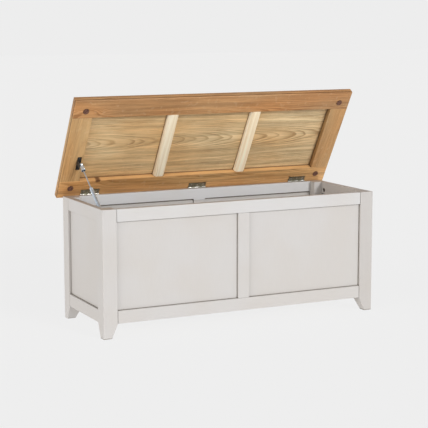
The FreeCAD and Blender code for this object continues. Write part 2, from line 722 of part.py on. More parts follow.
def on_hinge_axis(item):
    """Put a piece drawn in the closed lid's frame on the case."""
    return place(item, ("0", HINGE_Y, HINGE_Z))


def make_hinges():
    """The leaves, pins and screws of the three hinges."""
    screws = {"case": [], "lid": []}
    for hand, middle in HINGE_SPOTS.items():
        node(on_hinge_axis(make_leaf("case", hand)), "hinge_case_leaf_" + hand)
        node(onto_lid(make_leaf("lid", hand)), "hinge_lid_leaf_" + hand)
        start = "%s - hinge_length / 2" % middle
        pin = fuse("hinge_pin_" + hand, [
            rod("pin_shank_" + hand, (start + " - pin_head_length", "0", "0"), "pin_radius",
                "hinge_length + 2 * pin_head_length", ALONG_X),
            rod("pin_head_low_" + hand, (start + " - pin_head_length", "0", "0"), "pin_head_radius",
                "pin_head_length", ALONG_X),
            rod("pin_head_high_" + hand, (start + " + hinge_length", "0", "0"), "pin_head_radius",
                "pin_head_length", ALONG_X)])
        node(on_hinge_axis(pin), "hinge_pin_" + hand)
        for kind in screws:
            for k in (-1, 0, 1):
                screws[kind].append(make_screw("hinge_%s_screw_%s_%d" % (kind, hand, k + 1),
                                               leaf_screw_spot(kind, middle, k),
                                               POINT_DOWN if kind == "case" else POINT_UP))
    node(on_hinge_axis(group("hinge_case_screw_set", screws["case"])), "hinge_case_screws")
    node(onto_lid(group("hinge_lid_screw_set", screws["lid"])), "hinge_lid_screws")


# ---------------------------------------------------------------------------------------------
# The gas stay inside the left end. It is drawn in its own frame: origin on the case ball, z along
# the stay to the lid ball.

def stay_vector(open_degrees):
    """From the case ball to the lid ball, with the lid open by an angle: (y, z)."""
    angle = math.radians(open_degrees)
    reach, drop = VALUES["stay_lid_reach"], VALUES["stay_lid_drop"]
    lid_y = -reach * math.cos(angle) - drop * math.sin(angle)
    lid_z = reach * math.sin(angle) - drop * math.cos(angle)
    return lid_y + VALUES["stay_case_forward"], lid_z + VALUES["stay_case_drop"]


OPEN_VECTOR = stay_vector(VALUES["lid_open_angle"])
CLOSED_VECTOR = stay_vector(0)
STAY_OPEN = math.hypot(*OPEN_VECTOR)
STAY_CLOSED = math.hypot(*CLOSED_VECTOR)
STAY_LEAN = math.degrees(math.atan2(OPEN_VECTOR[1], OPEN_VECTOR[0]))
LONG = "%.6f" % STAY_OPEN
SHORT = "%.6f" % STAY_CLOSED
MOUTH = "(%s - skirt_floor - stay_end_gap)" % SHORT
ROD_LOW = "(%s - %s + tube_start + tube_floor + stay_end_gap)" % (LONG, SHORT)


def onto_stay(item):
    """Put a piece drawn in the stay's frame between its two balls."""
    corner = ("-stay_offset", HINGE_Y + " - stay_case_forward", HINGE_Z + " - stay_case_drop")
    return place(item, corner, turn_about("x", STAY_LEAN - 90))


def turned_node(name, profile):
    """A part of the stay turned from an outline in its own frame."""
    body = new_body(name + "_body")
    turned(body, name + "_turned", outline(body, name + "_profile", "XZ_Plane", profile))
    node(onto_stay(body), name)


def socket(name, height, parts):
    """A ball socket at a height along the stay, with its neck or skirt, open towards -X."""
    head = rod(name + "_head", ("-socket_width / 2", "0", height), "socket_radius", "socket_width",
               ALONG_X)
    seat = ball(name + "_seat", ("0", "0", height), "ball_radius + ball_clearance")
    door = rod(name + "_door", ("-socket_width", "0", height), "ball_neck_radius + neck_room",
               "socket_width", ALONG_X)
    return cut(name + "_bored", fuse(name + "_blank", [head] + parts), [seat, door])


def make_stay():
    """Cylinder, guide, rod, piston and the two sockets."""
    neck = cone("stay_lower_neck", ("0", "0", "socket_radius / 2"), ("socket_width / 2", "tube_radius"),
                "tube_start - socket_radius / 2")
    node(onto_stay(socket("stay_lower_socket", "0", [neck])), "stay_lower_socket")
    turned_node("stay_cylinder", [("0", "tube_start"), ("tube_radius", "tube_start"),
                                  ("tube_radius", MOUTH), ("tube_bore", MOUTH),
                                  ("tube_bore", "tube_start + tube_floor"),
                                  ("0", "tube_start + tube_floor")])
    turned_node("stay_rod_guide", [("rod_radius + rod_clearance", MOUTH + " - guide_length"),
                                   ("tube_bore", MOUTH + " - guide_length"), ("tube_bore", MOUTH),
                                   ("rod_radius + rod_clearance", MOUTH)])
    turned_node("stay_piston", [("rod_radius", ROD_LOW), ("tube_bore - rod_clearance", ROD_LOW),
                                ("tube_bore - rod_clearance", ROD_LOW + " + piston_length"),
                                ("rod_radius", ROD_LOW + " + piston_length")])
    rod_top = LONG + " - socket_radius"
    turned_node("stay_rod", [("0", ROD_LOW), ("rod_radius", ROD_LOW), ("rod_radius", rod_top),
                             ("0", rod_top)])
    skirt_low, skirt_top = LONG + " - skirt_length", LONG + " - socket_radius / 2"
    floor, shoulder = LONG + " - skirt_floor", LONG + " - skirt_floor - skirt_step"
    bell = new_body("stay_skirt")
    turned(bell, "stay_skirt_turned", outline(bell, "stay_skirt_profile", "XZ_Plane", [
        ("rod_radius", floor), ("skirt_bore", floor), ("skirt_bore", skirt_low),
        ("skirt_radius", skirt_low), ("skirt_shoulder", shoulder), ("socket_width / 2", skirt_top),
        ("rod_radius", skirt_top)]))
    head = socket("stay_upper_socket", LONG, [bell])
    seat = rod("stay_rod_seat", ("0", "0", floor), "rod_radius", "skirt_floor - socket_radius")
    node(onto_stay(cut("stay_upper_socket_cut", head, [seat])), "stay_upper_socket")
    stud = fuse("stay_lid_ball_stud", [
        ball("stay_lid_ball_round", ("0", "0", LONG), "ball_radius"),
        rod("stay_lid_ball_neck", ("-socket_width / 2 - tab_gap + open_pivot_gap", "0", LONG),
            "ball_neck_radius", "socket_width / 2 + tab_gap - open_pivot_gap", ALONG_X)])
    node(onto_stay(stud), "stay_lid_ball")


def screwed_on(name, plate, spots, turn):
    """A plate with a hole for each pan-head screw, and the screws that hold it."""
    holes = [place(screw_blank("%s_hole_%d" % (name, k), "pan"), spot, turn)
             for k, spot in enumerate(spots)]
    screws = [make_screw("%s_screw_%d" % (name, k), spot, turn, "pan") for k, spot in enumerate(spots)]
    return cut(name, plate, holes), group(name + "_screws", screws)


def make_stay_brackets():
    """The bracket under the lid, the bracket on the end rail, its ball stud, and their screws."""
    tab_x = "-stay_offset - socket_width / 2 - tab_gap - plate_thickness"
    parts = [
        box("lid_flange", (tab_x, "-stay_lid_reach - flange_lead", UNDER + " - plate_thickness"),
            ("flange_width", "flange_length", "plate_thickness")),
        box("lid_tab", (tab_x, "-stay_lid_reach - tab_length / 2", "-stay_lid_drop"),
            ("plate_thickness", "tab_length", "stay_lid_drop + " + UNDER)),
        rod("lid_tab_end", (tab_x, "-stay_lid_reach", "-stay_lid_drop"), "tab_length / 2",
            "plate_thickness", ALONG_X),
    ]
    screw_x = tab_x + " + plate_thickness / 2 + flange_width / 2"
    front_y = "-stay_lid_reach - flange_lead"
    spots = [(screw_x, front_y + inset, UNDER + " - plate_thickness - screw_head_depth")
             for inset in (" + flange_screw_inset", " + flange_length - flange_screw_inset")]
    bracket, screws = screwed_on("lid_bracket", fuse("lid_bracket_blank", parts), spots, POINT_UP)
    node(onto_lid(bracket), "stay_lid_bracket")
    node(onto_lid(screws), "stay_lid_screws")

    plate_x = "-case_width / 2 + " + RAIL_BACK
    ball_y = HINGE_Y + " - stay_case_forward"
    ball_z = HINGE_Z + " - stay_case_drop"
    plate = box("case_plate", (plate_x, ball_y + " - case_plate_width / 2", ball_z + " - case_plate_foot"),
                ("plate_thickness", "case_plate_width", "case_plate_height"))
    head_x = plate_x + " + plate_thickness + screw_head_depth"
    spots = [(head_x, ball_y, ball_z + rise) for rise in (" + case_screw_low", " + case_screw_high")]
    bracket, screws = screwed_on("case_bracket", plate, spots, turn_about("y", -90))
    node(bracket, "stay_case_bracket")
    node(screws, "stay_case_screws")
    boss_length = "case_width / 2 - (%s) - plate_thickness - stay_offset - case_neck_length" % RAIL_BACK
    stud = fuse("stay_case_ball_stud", [
        ball("case_ball_round", ("-stay_offset", ball_y, ball_z), "ball_radius"),
        rod("case_ball_neck", ("-stay_offset - case_neck_length", ball_y, ball_z), "ball_neck_radius",
            "case_neck_length", ALONG_X),
        rod("case_ball_boss", (plate_x + " + plate_thickness", ball_y, ball_z), "case_boss_radius",
            boss_length, ALONG_X)])
    node(stud, "stay_case_ball")


def check_and_export():
    """Recompute, make sure that every object is sound, then write one file per node."""
    doc.recompute()
    for item in doc.Objects:
        if "Invalid" in item.State or "Error" in item.State:
            raise RuntimeError("%s is %s" % (item.Label, item.State))
    for item in NODES:
        if item.Shape.isNull() or not item.Shape.isValid():
            raise RuntimeError("%s has no sound shape" % item.Label)
    os.makedirs("parts", exist_ok=True)
    for item in NODES:
        item.Shape.exportStep("parts/%s.step" % item.Label)
        print("%-24s %2d solid(s)  %10.1f mm3" % (item.Label, len(item.Shape.Solids), item.Shape.Volume))
    print("stay: open %.2f mm at %.3f deg, closed %.2f mm at %.3f deg" % (
        STAY_OPEN, STAY_LEAN, STAY_CLOSED, math.degrees(math.atan2(CLOSED_VECTOR[1], CLOSED_VECTOR[0]))))


fill_sheet()
for post_name in POSTS:
    make_post(post_name)
for case_side in SIDES:
    make_rail(case_side, "top")
    make_rail(case_side, "bottom")
    make_panels(case_side)
    make_batten(case_side)
for case_side in ("front", "back"):
    make_centre_stile(case_side)
make_floor()
make_cam_fittings()
make_lid_frame()
make_lid_stile("left", -1)
make_lid_stile("right", 1)
make_lid_panel()
make_cleat("left", -1)
make_cleat("right", 1)
make_bumpers()
make_hinges()
make_stay()
make_stay_brackets()
check_and_export()
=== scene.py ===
"""A storage bench, dressed: a stone-painted chest whose oak lid is held open by a gas stay.

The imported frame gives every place. The painted case, the cam locks, the lid, the bumpers, the
stay's cylinder and its upper socket are remade here with eased edges and joinery. The floor and
the rest of the hardware are dressed as the frame has them. Lengths are metres. +X runs along the
bench, +Y from front to back, +Z up.
"""
from __future__ import annotations

import json
import logging
import math
from contextlib import contextmanager
from dataclasses import dataclass
from enum import Enum
from typing import Callable, Iterator, Sequence

import bmesh
import bpy
from mathutils import Matrix, Vector


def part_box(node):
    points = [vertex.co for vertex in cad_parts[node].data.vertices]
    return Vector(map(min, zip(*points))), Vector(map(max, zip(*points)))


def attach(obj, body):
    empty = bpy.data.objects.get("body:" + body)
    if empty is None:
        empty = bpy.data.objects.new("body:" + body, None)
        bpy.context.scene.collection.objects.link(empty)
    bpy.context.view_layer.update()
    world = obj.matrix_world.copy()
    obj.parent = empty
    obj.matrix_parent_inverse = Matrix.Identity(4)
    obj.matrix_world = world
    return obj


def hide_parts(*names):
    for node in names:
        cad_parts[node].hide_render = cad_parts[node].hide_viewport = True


LOG = logging.getLogger("storage_bench")
MM = 0.001
PARALLEL = 0.999
Point = Sequence[float]
Colour = tuple[float, float, float]
Socket = bpy.types.NodeSocket

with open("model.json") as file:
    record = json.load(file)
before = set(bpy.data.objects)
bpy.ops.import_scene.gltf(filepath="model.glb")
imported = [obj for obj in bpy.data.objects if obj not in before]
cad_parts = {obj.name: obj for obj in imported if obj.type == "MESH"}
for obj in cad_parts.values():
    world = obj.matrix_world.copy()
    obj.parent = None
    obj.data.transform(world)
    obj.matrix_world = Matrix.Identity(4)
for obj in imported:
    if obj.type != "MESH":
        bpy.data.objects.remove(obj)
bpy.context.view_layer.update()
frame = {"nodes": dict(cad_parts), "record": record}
RECORD = frame["record"]
BODY_OF = {node: body for body, nodes in RECORD["behaviour"]["bodies"].items() for node in nodes}
JOINT = {joint["name"]: joint for joint in RECORD["behaviour"]["joints"]}


class Axis(Enum):
    """The frame's axes, each with its index in a vector."""

    X = 0
    Y = 1
    Z = 2

    def unit(self) -> Vector:
        """The unit vector along this axis."""
        return Vector([float(self.value == k) for k in range(3)])


class Grain(Enum):
    """Which way a board of the lid runs: along the bench or from front to back."""

    ALONG = 0.0
    ACROSS = 90.0


# ---------------------------------------------------------------------------------------------
# The workshop: modelling steps shared by all the pieces


def put_down_all() -> None:
    """Deselect everything, so that the next operator acts on nothing else."""
    bpy.ops.object.select_all(action="DESELECT")


def pick_up(piece: bpy.types.Object) -> None:
    """Make a piece the only selected object and the active one.

    Args:
        piece: the piece.
    """
    put_down_all()
    piece.select_set(True)
    bpy.context.view_layer.objects.active = piece


def name_piece(name: str) -> bpy.types.Object:
    """Name the object that an operator has just added.

    Args:
        name: its name, which its mesh has too.

    Returns:
        The object.
    """
    piece = bpy.context.object
    piece.name = name
    piece.data.name = name
    return piece


def start_block(name: str, low: Point, high: Point) -> bpy.types.Object:
    """Add a block between two corners.

    Args:
        name: the new piece's name.
        low: its lowest corner.
        high: its highest corner.

    Returns:
        The block, with its place in its mesh.
    """
    put_down_all()
    low, high = Vector(low), Vector(high)
    bpy.ops.mesh.primitive_cube_add(size=1, location=(low + high) / 2, scale=high - low)
    bpy.ops.object.transform_apply(location=True, rotation=True, scale=True)
    return name_piece(name)


@contextmanager
def editing(piece: bpy.types.Object, kind: str) -> Iterator[bmesh.types.BMesh]:
    """Open a piece in edit mode with nothing selected, and close it afterwards.

    Args:
        piece: the piece to open.
        kind: what is picked in it, VERT, EDGE or FACE.

    Yields:
        The piece's edit mesh.
    """
    pick_up(piece)
    bpy.ops.object.mode_set(mode="EDIT")
    bpy.ops.mesh.select_mode(type=kind)
    bpy.ops.mesh.select_all(action="DESELECT")
    try:
        yield bmesh.from_edit_mesh(piece.data)
    finally:
        bpy.ops.object.mode_set(mode="OBJECT")


def pick(mesh: bmesh.types.BMesh, items: Sequence, test: Callable) -> None:
    """Select the vertices, edges or faces of an edit mesh that pass a test.

    Args:
        mesh: the edit mesh.
        items: its vertices, edges or faces.
        test: takes one of them and says whether it is selected.
    """
    for item in items:
        if test(item):
            item.select_set(True)
    mesh.select_flush_mode()


def middle(item: bmesh.types.BMEdge) -> Vector:
    """The middle of an edge."""
    return (item.verts[0].co + item.verts[1].co) / 2


def runs_along(item: bmesh.types.BMEdge, axis: Axis) -> bool:
    """Whether an edge runs along one of the frame's axes."""
    way = (item.verts[1].co - item.verts[0].co).normalized()
    return abs(way[axis.value]) > PARALLEL


def round_edges(piece: bpy.types.Object, size: float, steps: int, test: Callable) -> None:
    """Bevel the edges of a piece that pass a test.

    Args:
        piece: the piece to work on.
        size: how far the bevel reaches back along each face.
        steps: 1 for a flat bevel, more for a round one.
        test: takes an edge and says whether it is bevelled.
    """
    with editing(piece, "EDGE") as mesh:
        pick(mesh, mesh.edges, test)
        bpy.ops.mesh.bevel(offset=size, segments=steps, affect="EDGES", clamp_overlap=True)


def apply_modifier(piece: bpy.types.Object, kind: str, **settings: object) -> None:
    """Add one modifier to a piece and apply it.

    Args:
        piece: the piece.
        kind: the modifier's type.
        settings: the modifier's own settings.
    """
    pick_up(piece)
    modifier = piece.modifiers.new(kind.title(), kind)
    for key, value in settings.items():
        setattr(modifier, key, value)
    bpy.ops.object.modifier_apply(modifier=modifier.name)


def carve(piece: bpy.types.Object, cutters: Sequence[bpy.types.Object]) -> bpy.types.Object:
    """Take the shapes of the cutters out of a piece, and remove the cutters.

    Args:
        piece: the piece.
        cutters: solid pieces that reach into it.

    Returns:
        The piece.
    """
    for cutter in cutters:
        apply_modifier(piece, "BOOLEAN", operation="DIFFERENCE", solver="EXACT", object=cutter)
        bpy.data.objects.remove(cutter)
    return piece


def build_on(piece: bpy.types.Object, additions: Sequence[bpy.types.Object]) -> bpy.types.Object:
    """Make the additions one shape with a piece, and remove them.

    Args:
        piece: the piece.
        additions: solid pieces that overlap it.

    Returns:
        The piece.
    """
    for addition in additions:
        apply_modifier(piece, "BOOLEAN", operation="UNION", solver="EXACT", object=addition)
        bpy.data.objects.remove(addition)
    return piece


def soften(piece: bpy.types.Object, size: float, steps: int = 2, angle: float = 35.0) -> None:
    """Round every edge sharper than an angle, as sanding does."""
    apply_modifier(piece, "BEVEL", width=size, segments=steps, limit_method="ANGLE",
                   angle_limit=math.radians(angle), use_clamp_overlap=True)


def shade(piece: bpy.types.Object, angle: float = 40.0) -> None:
    """Shade a piece smooth across its rounded edges and flat on its faces.

    Args:
        piece: the piece.
        angle: the sharpest edge, in degrees, that is shaded smooth.
    """
    pick_up(piece)
    bpy.ops.object.shade_smooth_by_angle(angle=math.radians(angle))
    apply_modifier(piece, "WEIGHTED_NORMAL", mode="FACE_AREA", weight=100, keep_sharp=True)


def move_mesh(piece: bpy.types.Object, place: Matrix) -> bpy.types.Object:
    """Move a piece's mesh and leave its object at the origin.

    Args:
        piece: the piece.
        place: where its mesh goes.

    Returns:
        The piece.
    """
    pick_up(piece)
    piece.matrix_world = place @ piece.matrix_world
    bpy.ops.object.transform_apply(location=True, rotation=True, scale=True)
    return piece


def copy_piece(piece: bpy.types.Object, name: str, place: Matrix) -> bpy.types.Object:
    """A copy of a piece with a mesh of its own, somewhere else.

    Args:
        piece: the piece to copy.
        name: the copy's name.
        place: where the copy's mesh goes.

    Returns:
        The copy.
    """
    pick_up(piece)
    bpy.ops.object.duplicate(linked=False)
    return move_mesh(name_piece(name), place)


def join_pieces(name: str, pieces: Sequence[bpy.types.Object]) -> bpy.types.Object:
    """Join separate shells into one piece, as for small fittings that repeat.

    Args:
        name: the joined piece's name.
        pieces: the shells, which become one object.

    Returns:
        The joined piece.
    """
    put_down_all()
    for piece in pieces:
        piece.select_set(True)
    bpy.context.view_layer.objects.active = pieces[0]
    bpy.ops.object.join()
    return name_piece(name)


def turn_piece(name: str, profile: Sequence[tuple[float, float]], ring: bool = False,
               sides: int = 48) -> bpy.types.Object:
    """Turn a round piece about +Z by drawing a circle out along a profile.

    Args:
        name: the new piece's name.
        profile: (radius, height) pairs, in order; no radius is 0.
        ring: whether the profile closes on itself, as a tube's does. Otherwise the two ends
            are filled.
        sides: how many sides the circle has.

    Returns:
        The turned piece.
    """
    put_down_all()
    radius, height = profile[0]
    bpy.ops.mesh.primitive_circle_add(vertices=sides, radius=radius, location=(0, 0, height))
    bpy.ops.object.transform_apply(location=True)
    piece = name_piece(name)
    with editing(piece, "EDGE"):
        bpy.ops.mesh.select_all(action="SELECT")
        if not ring:
            bpy.ops.mesh.edge_face_add()
        extrude = bpy.ops.mesh.extrude_edges_move if ring else bpy.ops.mesh.extrude_region
        for next_radius, next_height in profile[1:]:
            extrude()
            bpy.ops.transform.translate(value=(0, 0, next_height - height))
            factor = next_radius / radius
            bpy.ops.transform.resize(value=(factor, factor, 1), center_override=(0, 0, next_height))
            radius, height = next_radius, next_height
        if ring:
            bpy.ops.mesh.select_all(action="DESELECT")
            bpy.ops.mesh.select_non_manifold()
            bpy.ops.mesh.bridge_edge_loops()
        bpy.ops.mesh.select_all(action="SELECT")
        bpy.ops.mesh.normals_make_consistent(inside=False)
    return piece


def finish_piece(piece: bpy.types.Object, node: str, material: bpy.types.Material) -> None:
    """Give a finished piece its material, and let it stand for its node of the frame.

    Args:
        piece: the finished piece.
        node: the node that it stands for, which gives its body.
        material: its material.
    """
    piece.data.materials.clear()
    piece.data.materials.append(material)
    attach(piece, BODY_OF[node])
    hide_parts(node)
    LOG.info("made %s, %d faces, on %s", piece.name, len(piece.data.polygons), BODY_OF[node])


def dress_node(node: str, material: bpy.types.Material) -> None:
    """Give a node of the frame a material in place of its plain one.

    Args:
        node: the node's name.
        material: its material.
    """
    piece = frame["nodes"][node]
    if not piece.material_slots:
        piece.data.materials.append(material)
    for slot in piece.material_slots:
        slot.material = material
    LOG.info("dressed %s on %s", node, BODY_OF[node])


# ---------------------------------------------------------------------------------------------
# Finishes


class Recipe:
    """A material's node tree, with short calls that add nodes and join them."""

    def __init__(self, name: str) -> None:
        """Start a material with its plain surface.

        Args:
            name: the material's name.
        """
        self.material = bpy.data.materials.new(name)
        self.material.use_nodes = True
        self.tree = self.material.node_tree
        self.surface = self.tree.nodes["Principled BSDF"]

    def add(self, kind: str, inputs: dict | None = None, **settings: object) -> bpy.types.Node:
        """Add a node.

        Args:
            kind: its type, without the leading ShaderNode.
            inputs: what goes to its sockets, by name or number: a value, or another
                node's socket.
            settings: its own properties.

        Returns:
            The node.
        """
        node = self.tree.nodes.new("ShaderNode" + kind)
        for key, value in settings.items():
            setattr(node, key, value)
        for key, value in (inputs or {}).items():
            self.feed(node.inputs[key], value)
        return node

    def feed(self, socket: Socket, value: object) -> None:
        """Set a socket, or join another node's socket to it.

        Args:
            socket: the socket to set.
            value: a value or another node's socket.
        """
        if isinstance(value, Socket):
            self.tree.links.new(value, socket)
        else:
            socket.default_value = value

    def sum(self, operation: str, *terms: object) -> Socket:
        """One step of arithmetic."""
        return self.add("Math", dict(enumerate(terms)), operation=operation).outputs[0]

    def place(self, turn: Point = (0, 0, 0), shift: Point = (0, 0, 0)) -> Socket:
        """Object coordinates, turned and then shifted."""
        source = self.add("TexCoord").outputs["Object"]
        return self.add("Mapping", {"Vector": source, "Rotation": turn, "Location": shift}).outputs[0]

    def stretch(self, vector: Socket, factors: Point) -> Socket:
        """Coordinates multiplied axis by axis."""
        return self.add("VectorMath", {0: vector, 1: factors}, operation="MULTIPLY").outputs[0]

    def noise(self, vector: Socket, scale: float = 1.0, detail: float = 2.0,
              roughness: float = 0.5) -> Socket:
        """Smooth noise from 0 to 1.

        Args:
            vector: the coordinates it varies with.
            scale: how many waves it has in a metre of them.
            detail: how many finer layers it has.
            roughness: how strong the finer layers are.

        Returns:
            The noise.
        """
        node = self.add("TexNoise", {"Vector": vector, "Scale": scale, "Detail": detail,
                                     "Roughness": roughness})
        return node.outputs["Fac"]

    def between(self, value: Socket, start: float, end: float, low: float = 0.0,
                high: float = 1.0) -> Socket:
        """A smooth step of a value from one range to another.

        Args:
            value: the value.
            start: where the step starts. It may be more than end.
            end: where the step ends.
            low: the result at the start.
            high: the result at the end.

        Returns:
            The stepped value.
        """
        node = self.add("MapRange", {"Value": value, "From Min": start, "From Max": end,
                                     "To Min": low, "To Max": high}, interpolation_type="SMOOTHSTEP")
        return node.outputs["Result"]

    def blend(self, share: object, first: object, second: object, mode: str = "MIX") -> Socket:
        """Blend two colours by a share, or lay one over the other.

        Args:
            share: how much of the second there is, a value or a socket.
            first: the first colour, a value or a socket.
            second: the second colour, a value or a socket.
            mode: the way they are blended.

        Returns:
            The blended colour.
        """
        node = self.add("Mix", data_type="RGBA", blend_type=mode)
        for key, value in (("Factor", share), (6, first), (7, second)):
            self.feed(node.inputs[key], value)
        return node.outputs[2]

    def lay_over(self, colour: object, share: Socket, strength: float, lay_over: Colour) -> Socket:
        """A colour with another laid over it where a share says so, at some strength: real stains and
        grain, and painted shade.
        """
        return self.blend(self.sum("MULTIPLY", share, strength), colour, (*lay_over, 1))

    def tint(self, colour: Socket, tint: Colour) -> Socket:
        """A colour with each channel multiplied."""
        return self.blend(1.0, colour, (*tint, 1), "MULTIPLY")

    def dim(self, colour: Socket, factor: Socket) -> Socket:
        """A colour made darker or brighter by a factor."""
        grey = self.add("CombineColor", {0: factor, 1: factor, 2: factor}).outputs[0]
        return self.blend(1.0, colour, grey, "MULTIPLY")

    def normal(self, axis: Axis) -> Socket:
        """The part of the surface's normal that points along an axis."""
        facing = self.add("NewGeometry").outputs["Normal"]
        return self.add("SeparateXYZ", {0: facing}).outputs[axis.value]

    def crevice(self, reach: float, start: float = 0.86, end: float = 0.58) -> Socket:
        """How far a point sits in a corner or a joint.

        Args:
            reach: how far off the other walls are looked for.
            start: the share of open air at which the corner begins.
            end: the share of open air at which it is full.

        Returns:
            A share from 0 in the open to 1.
        """
        air = self.add("AmbientOcclusion", {"Distance": reach}, samples=12).outputs["AO"]
        return self.between(air, start, end)

    def bump(self, height: Socket, strength: float, depth: float, below: Socket | None = None) -> Socket:
        """A bump from a height.

        Args:
            height: the height, from 0 to 1.
            strength: how strongly it shows.
            depth: how far 1 stands above 0.
            below: another bump that it lies on.

        Returns:
            The normal.
        """
        inputs = {"Height": height, "Strength": strength, "Distance": depth}
        if below is not None:
            inputs["Normal"] = below
        return self.add("Bump", inputs).outputs[0]

    def close(self, **inputs: object) -> bpy.types.Material:
        """Set the surface's own sockets.

        Args:
            inputs: what goes to each socket, with its name's spaces as underscores.

        Returns:
            The material.
        """
        for key, value in inputs.items():
            self.feed(self.surface.inputs[key.replace("_", " ")], value)
        return self.material


def lid_turn(grain: Grain) -> tuple[tuple[float, float, float], Vector]:
    """The mapping that takes the open lid back to its closed place about the hinge.

    Args:
        grain: the board's own direction, which becomes x.

    Returns:
        The turn and the shift of a Mapping node.
    """
    turn = (math.radians(Lid.open_angle()), 0.0, math.radians(grain.value))
    spin = Matrix.Rotation(turn[2], 3, "Z") @ Matrix.Rotation(turn[0], 3, "X")
    return turn, -(spin @ Lid.hinge())


@dataclass(frozen=True)
class Knot:
    """A knot in a board: its place from the hinge axis along and across the grain, and its size."""

    along: float
    across: float
    radius: float
    lay_over: float = 0.92


@dataclass(frozen=True)
class OakFinish:
    """Lacquered oak: growth rings cut by the board, fibres, pores, flecks and knots.

    The rings stand round a pith that runs along the board, off to one side of it and slightly
    tilted, so that a flat-sawn face shows pointed arches and a quarter-sawn one straight lines.
    """

    name: str
    grain: Grain = Grain.ALONG
    pith_across: float = 0.0
    pith_depth: float = 0.07
    tilt: float = 0.04
    ring: float = 0.0042
    sway: float = 1.0
    seed: float = 0.0
    knots: tuple[Knot, ...] = ()
    sap_across: float | None = None
    sap_half: float = 0.0035

    light: Colour = (0.60, 0.40, 0.21)
    dark: Colour = (0.40, 0.22, 0.09)
    pore: Colour = (0.16, 0.085, 0.035)
    fleck: Colour = (0.78, 0.60, 0.38)
    sap: Colour = (0.86, 0.50, 0.21)
    knot: Colour = (0.12, 0.045, 0.018)
    # Painted shade: the dark brown laid where the open lid and the case hide the oak from light.
    shelter_shade: Colour = (0.22, 0.115, 0.050)
    # Painted shade: the dark brown laid in the oak's tight corners and joints.
    joint: Colour = (0.13, 0.065, 0.025)
    red: Colour = (1.0, 0.90, 0.80)
    yellow: Colour = (1.03, 1.08, 1.14)
    end_tint: Colour = (0.80, 0.82, 0.80)

    contrast: float = 0.75
    streak: float = 0.22
    dash: float = 0.35
    pore_share: float = 0.50
    fleck_share: float = 0.12
    shelter_shade_share: float = 0.40
    joint_shade_share: float = 0.80
    pore_sink: float = 1.5
    late_wood: tuple[tuple[float, float], ...] = (
        (0.0, 0.02), (0.35, 0.10), (0.60, 0.35), (0.80, 1.0), (0.93, 0.9), (1.0, 0.05))

    def build(self) -> bpy.types.Material:
        """Mix the finish.

        Returns:
            The material.
        """
        recipe = Recipe(self.name)
        board = recipe.place(*lid_turn(self.grain))
        drift = self.drift(recipe, board)
        core, pull = self.knot_fields(recipe, board)
        rings = self.rings(recipe, drift, pull)
        fibres = recipe.noise(recipe.stretch(board, (22, 620, 620)), detail=4.0, roughness=0.6)
        pores = recipe.noise(recipe.stretch(board, (45, 1300, 1300)), detail=1.0)
        pores = recipe.sum("MULTIPLY", recipe.between(pores, 0.58, 0.68),
                           recipe.sum("MULTIPLY_ADD", rings, 0.8, 0.2))
        colour = self.figure(recipe, board, rings)
        colour = recipe.dim(colour, recipe.between(fibres, 0.25, 0.75, 0.90, 1.08))
        dashes = recipe.noise(recipe.stretch(drift, (9, 310, 310)))
        colour = recipe.lay_over(colour, recipe.between(dashes, 0.55, 0.68), self.dash, self.dark)
        colour = recipe.lay_over(colour, pores, self.pore_share, self.pore)
        flecks = recipe.noise(recipe.stretch(board, (60, 60, 420)), detail=1.0)
        colour = recipe.lay_over(colour, recipe.between(flecks, 0.60, 0.74), self.fleck_share, self.fleck)
        if self.sap_across is not None:
            colour = recipe.blend(self.sapwood(recipe, board), colour, (*self.sap, 1))
        if core is not None:
            colour = recipe.blend(core, colour, (*self.knot, 1))
        colour = self.shadows(recipe, colour)
        height = recipe.sum("SUBTRACT", fibres, recipe.sum("MULTIPLY", pores, self.pore_sink))
        return recipe.close(Base_Color=colour, Roughness=recipe.between(fibres, 0.2, 0.8, 0.56, 0.44),
                            Normal=recipe.bump(height, 0.35, 0.25 * MM), Specular_IOR_Level=0.32)

    def figure(self, recipe: Recipe, board: Socket, rings: Socket) -> Socket:
        """The board's colour with its rings, its long streaks and its slow changes of hue.

        Args:
            recipe: the material's recipe.
            board: the board's coordinates.
            rings: how dark the growth ring is.

        Returns:
            The colour.
        """
        colour = recipe.lay_over((*self.light, 1), rings, self.contrast, self.dark)
        streaks = recipe.noise(recipe.stretch(board, (2.4, 55, 55)), detail=3.0, roughness=0.55)
        colour = recipe.dim(colour, recipe.between(streaks, 0.25, 0.75, 1.0 - self.streak,
                                                   1.0 + self.streak))
        clouds = recipe.between(recipe.noise(recipe.stretch(board, (3, 9, 9))), 0.3, 0.7)
        hue = recipe.blend(clouds, (*self.red, 1), (*self.yellow, 1))
        return recipe.blend(1.0, colour, hue, "MULTIPLY")

    def shadows(self, recipe: Recipe, colour: Socket) -> Socket:
        """The colour with painted shade: darker on the board's ends, in deep sheltered places and in tight
        corners.

        Args:
            recipe: the material's recipe.
            colour: the colour in the open.

        Returns:
            The colour with its shadows.
        """
        end_share = recipe.between(recipe.sum("ABSOLUTE", recipe.normal(Axis.X)), 0.6, 0.95)
        colour = recipe.blend(end_share, colour, recipe.tint(colour, self.end_tint))
        # Painted shade from a broad occlusion mask: darker where other parts lie within 16 cm.
        colour = recipe.lay_over(colour, recipe.crevice(0.16, 0.75, 0.25), self.shelter_shade_share, self.shelter_shade)
        # Painted shade in corners and joints within 7 mm of another wall.
        return recipe.lay_over(colour, recipe.crevice(0.007), self.joint_shade_share, self.joint)

    def sapwood(self, recipe: Recipe, board: Socket) -> Socket:
        """How much of the paler sapwood shows along one edge of the board.

        Args:
            recipe: the material's recipe.
            board: the board's coordinates.

        Returns:
            A share from 0 to 1.
        """
        across = recipe.add("SeparateXYZ", {0: board}).outputs[1]
        away = recipe.sum("ABSOLUTE", recipe.sum("SUBTRACT", across, self.sap_across))
        patchy = recipe.between(recipe.noise(board, 9.0), 0.3, 0.6, 0.35, 0.80)
        return recipe.sum("MULTIPLY", recipe.between(away, self.sap_half, 0.6 * self.sap_half), patchy)

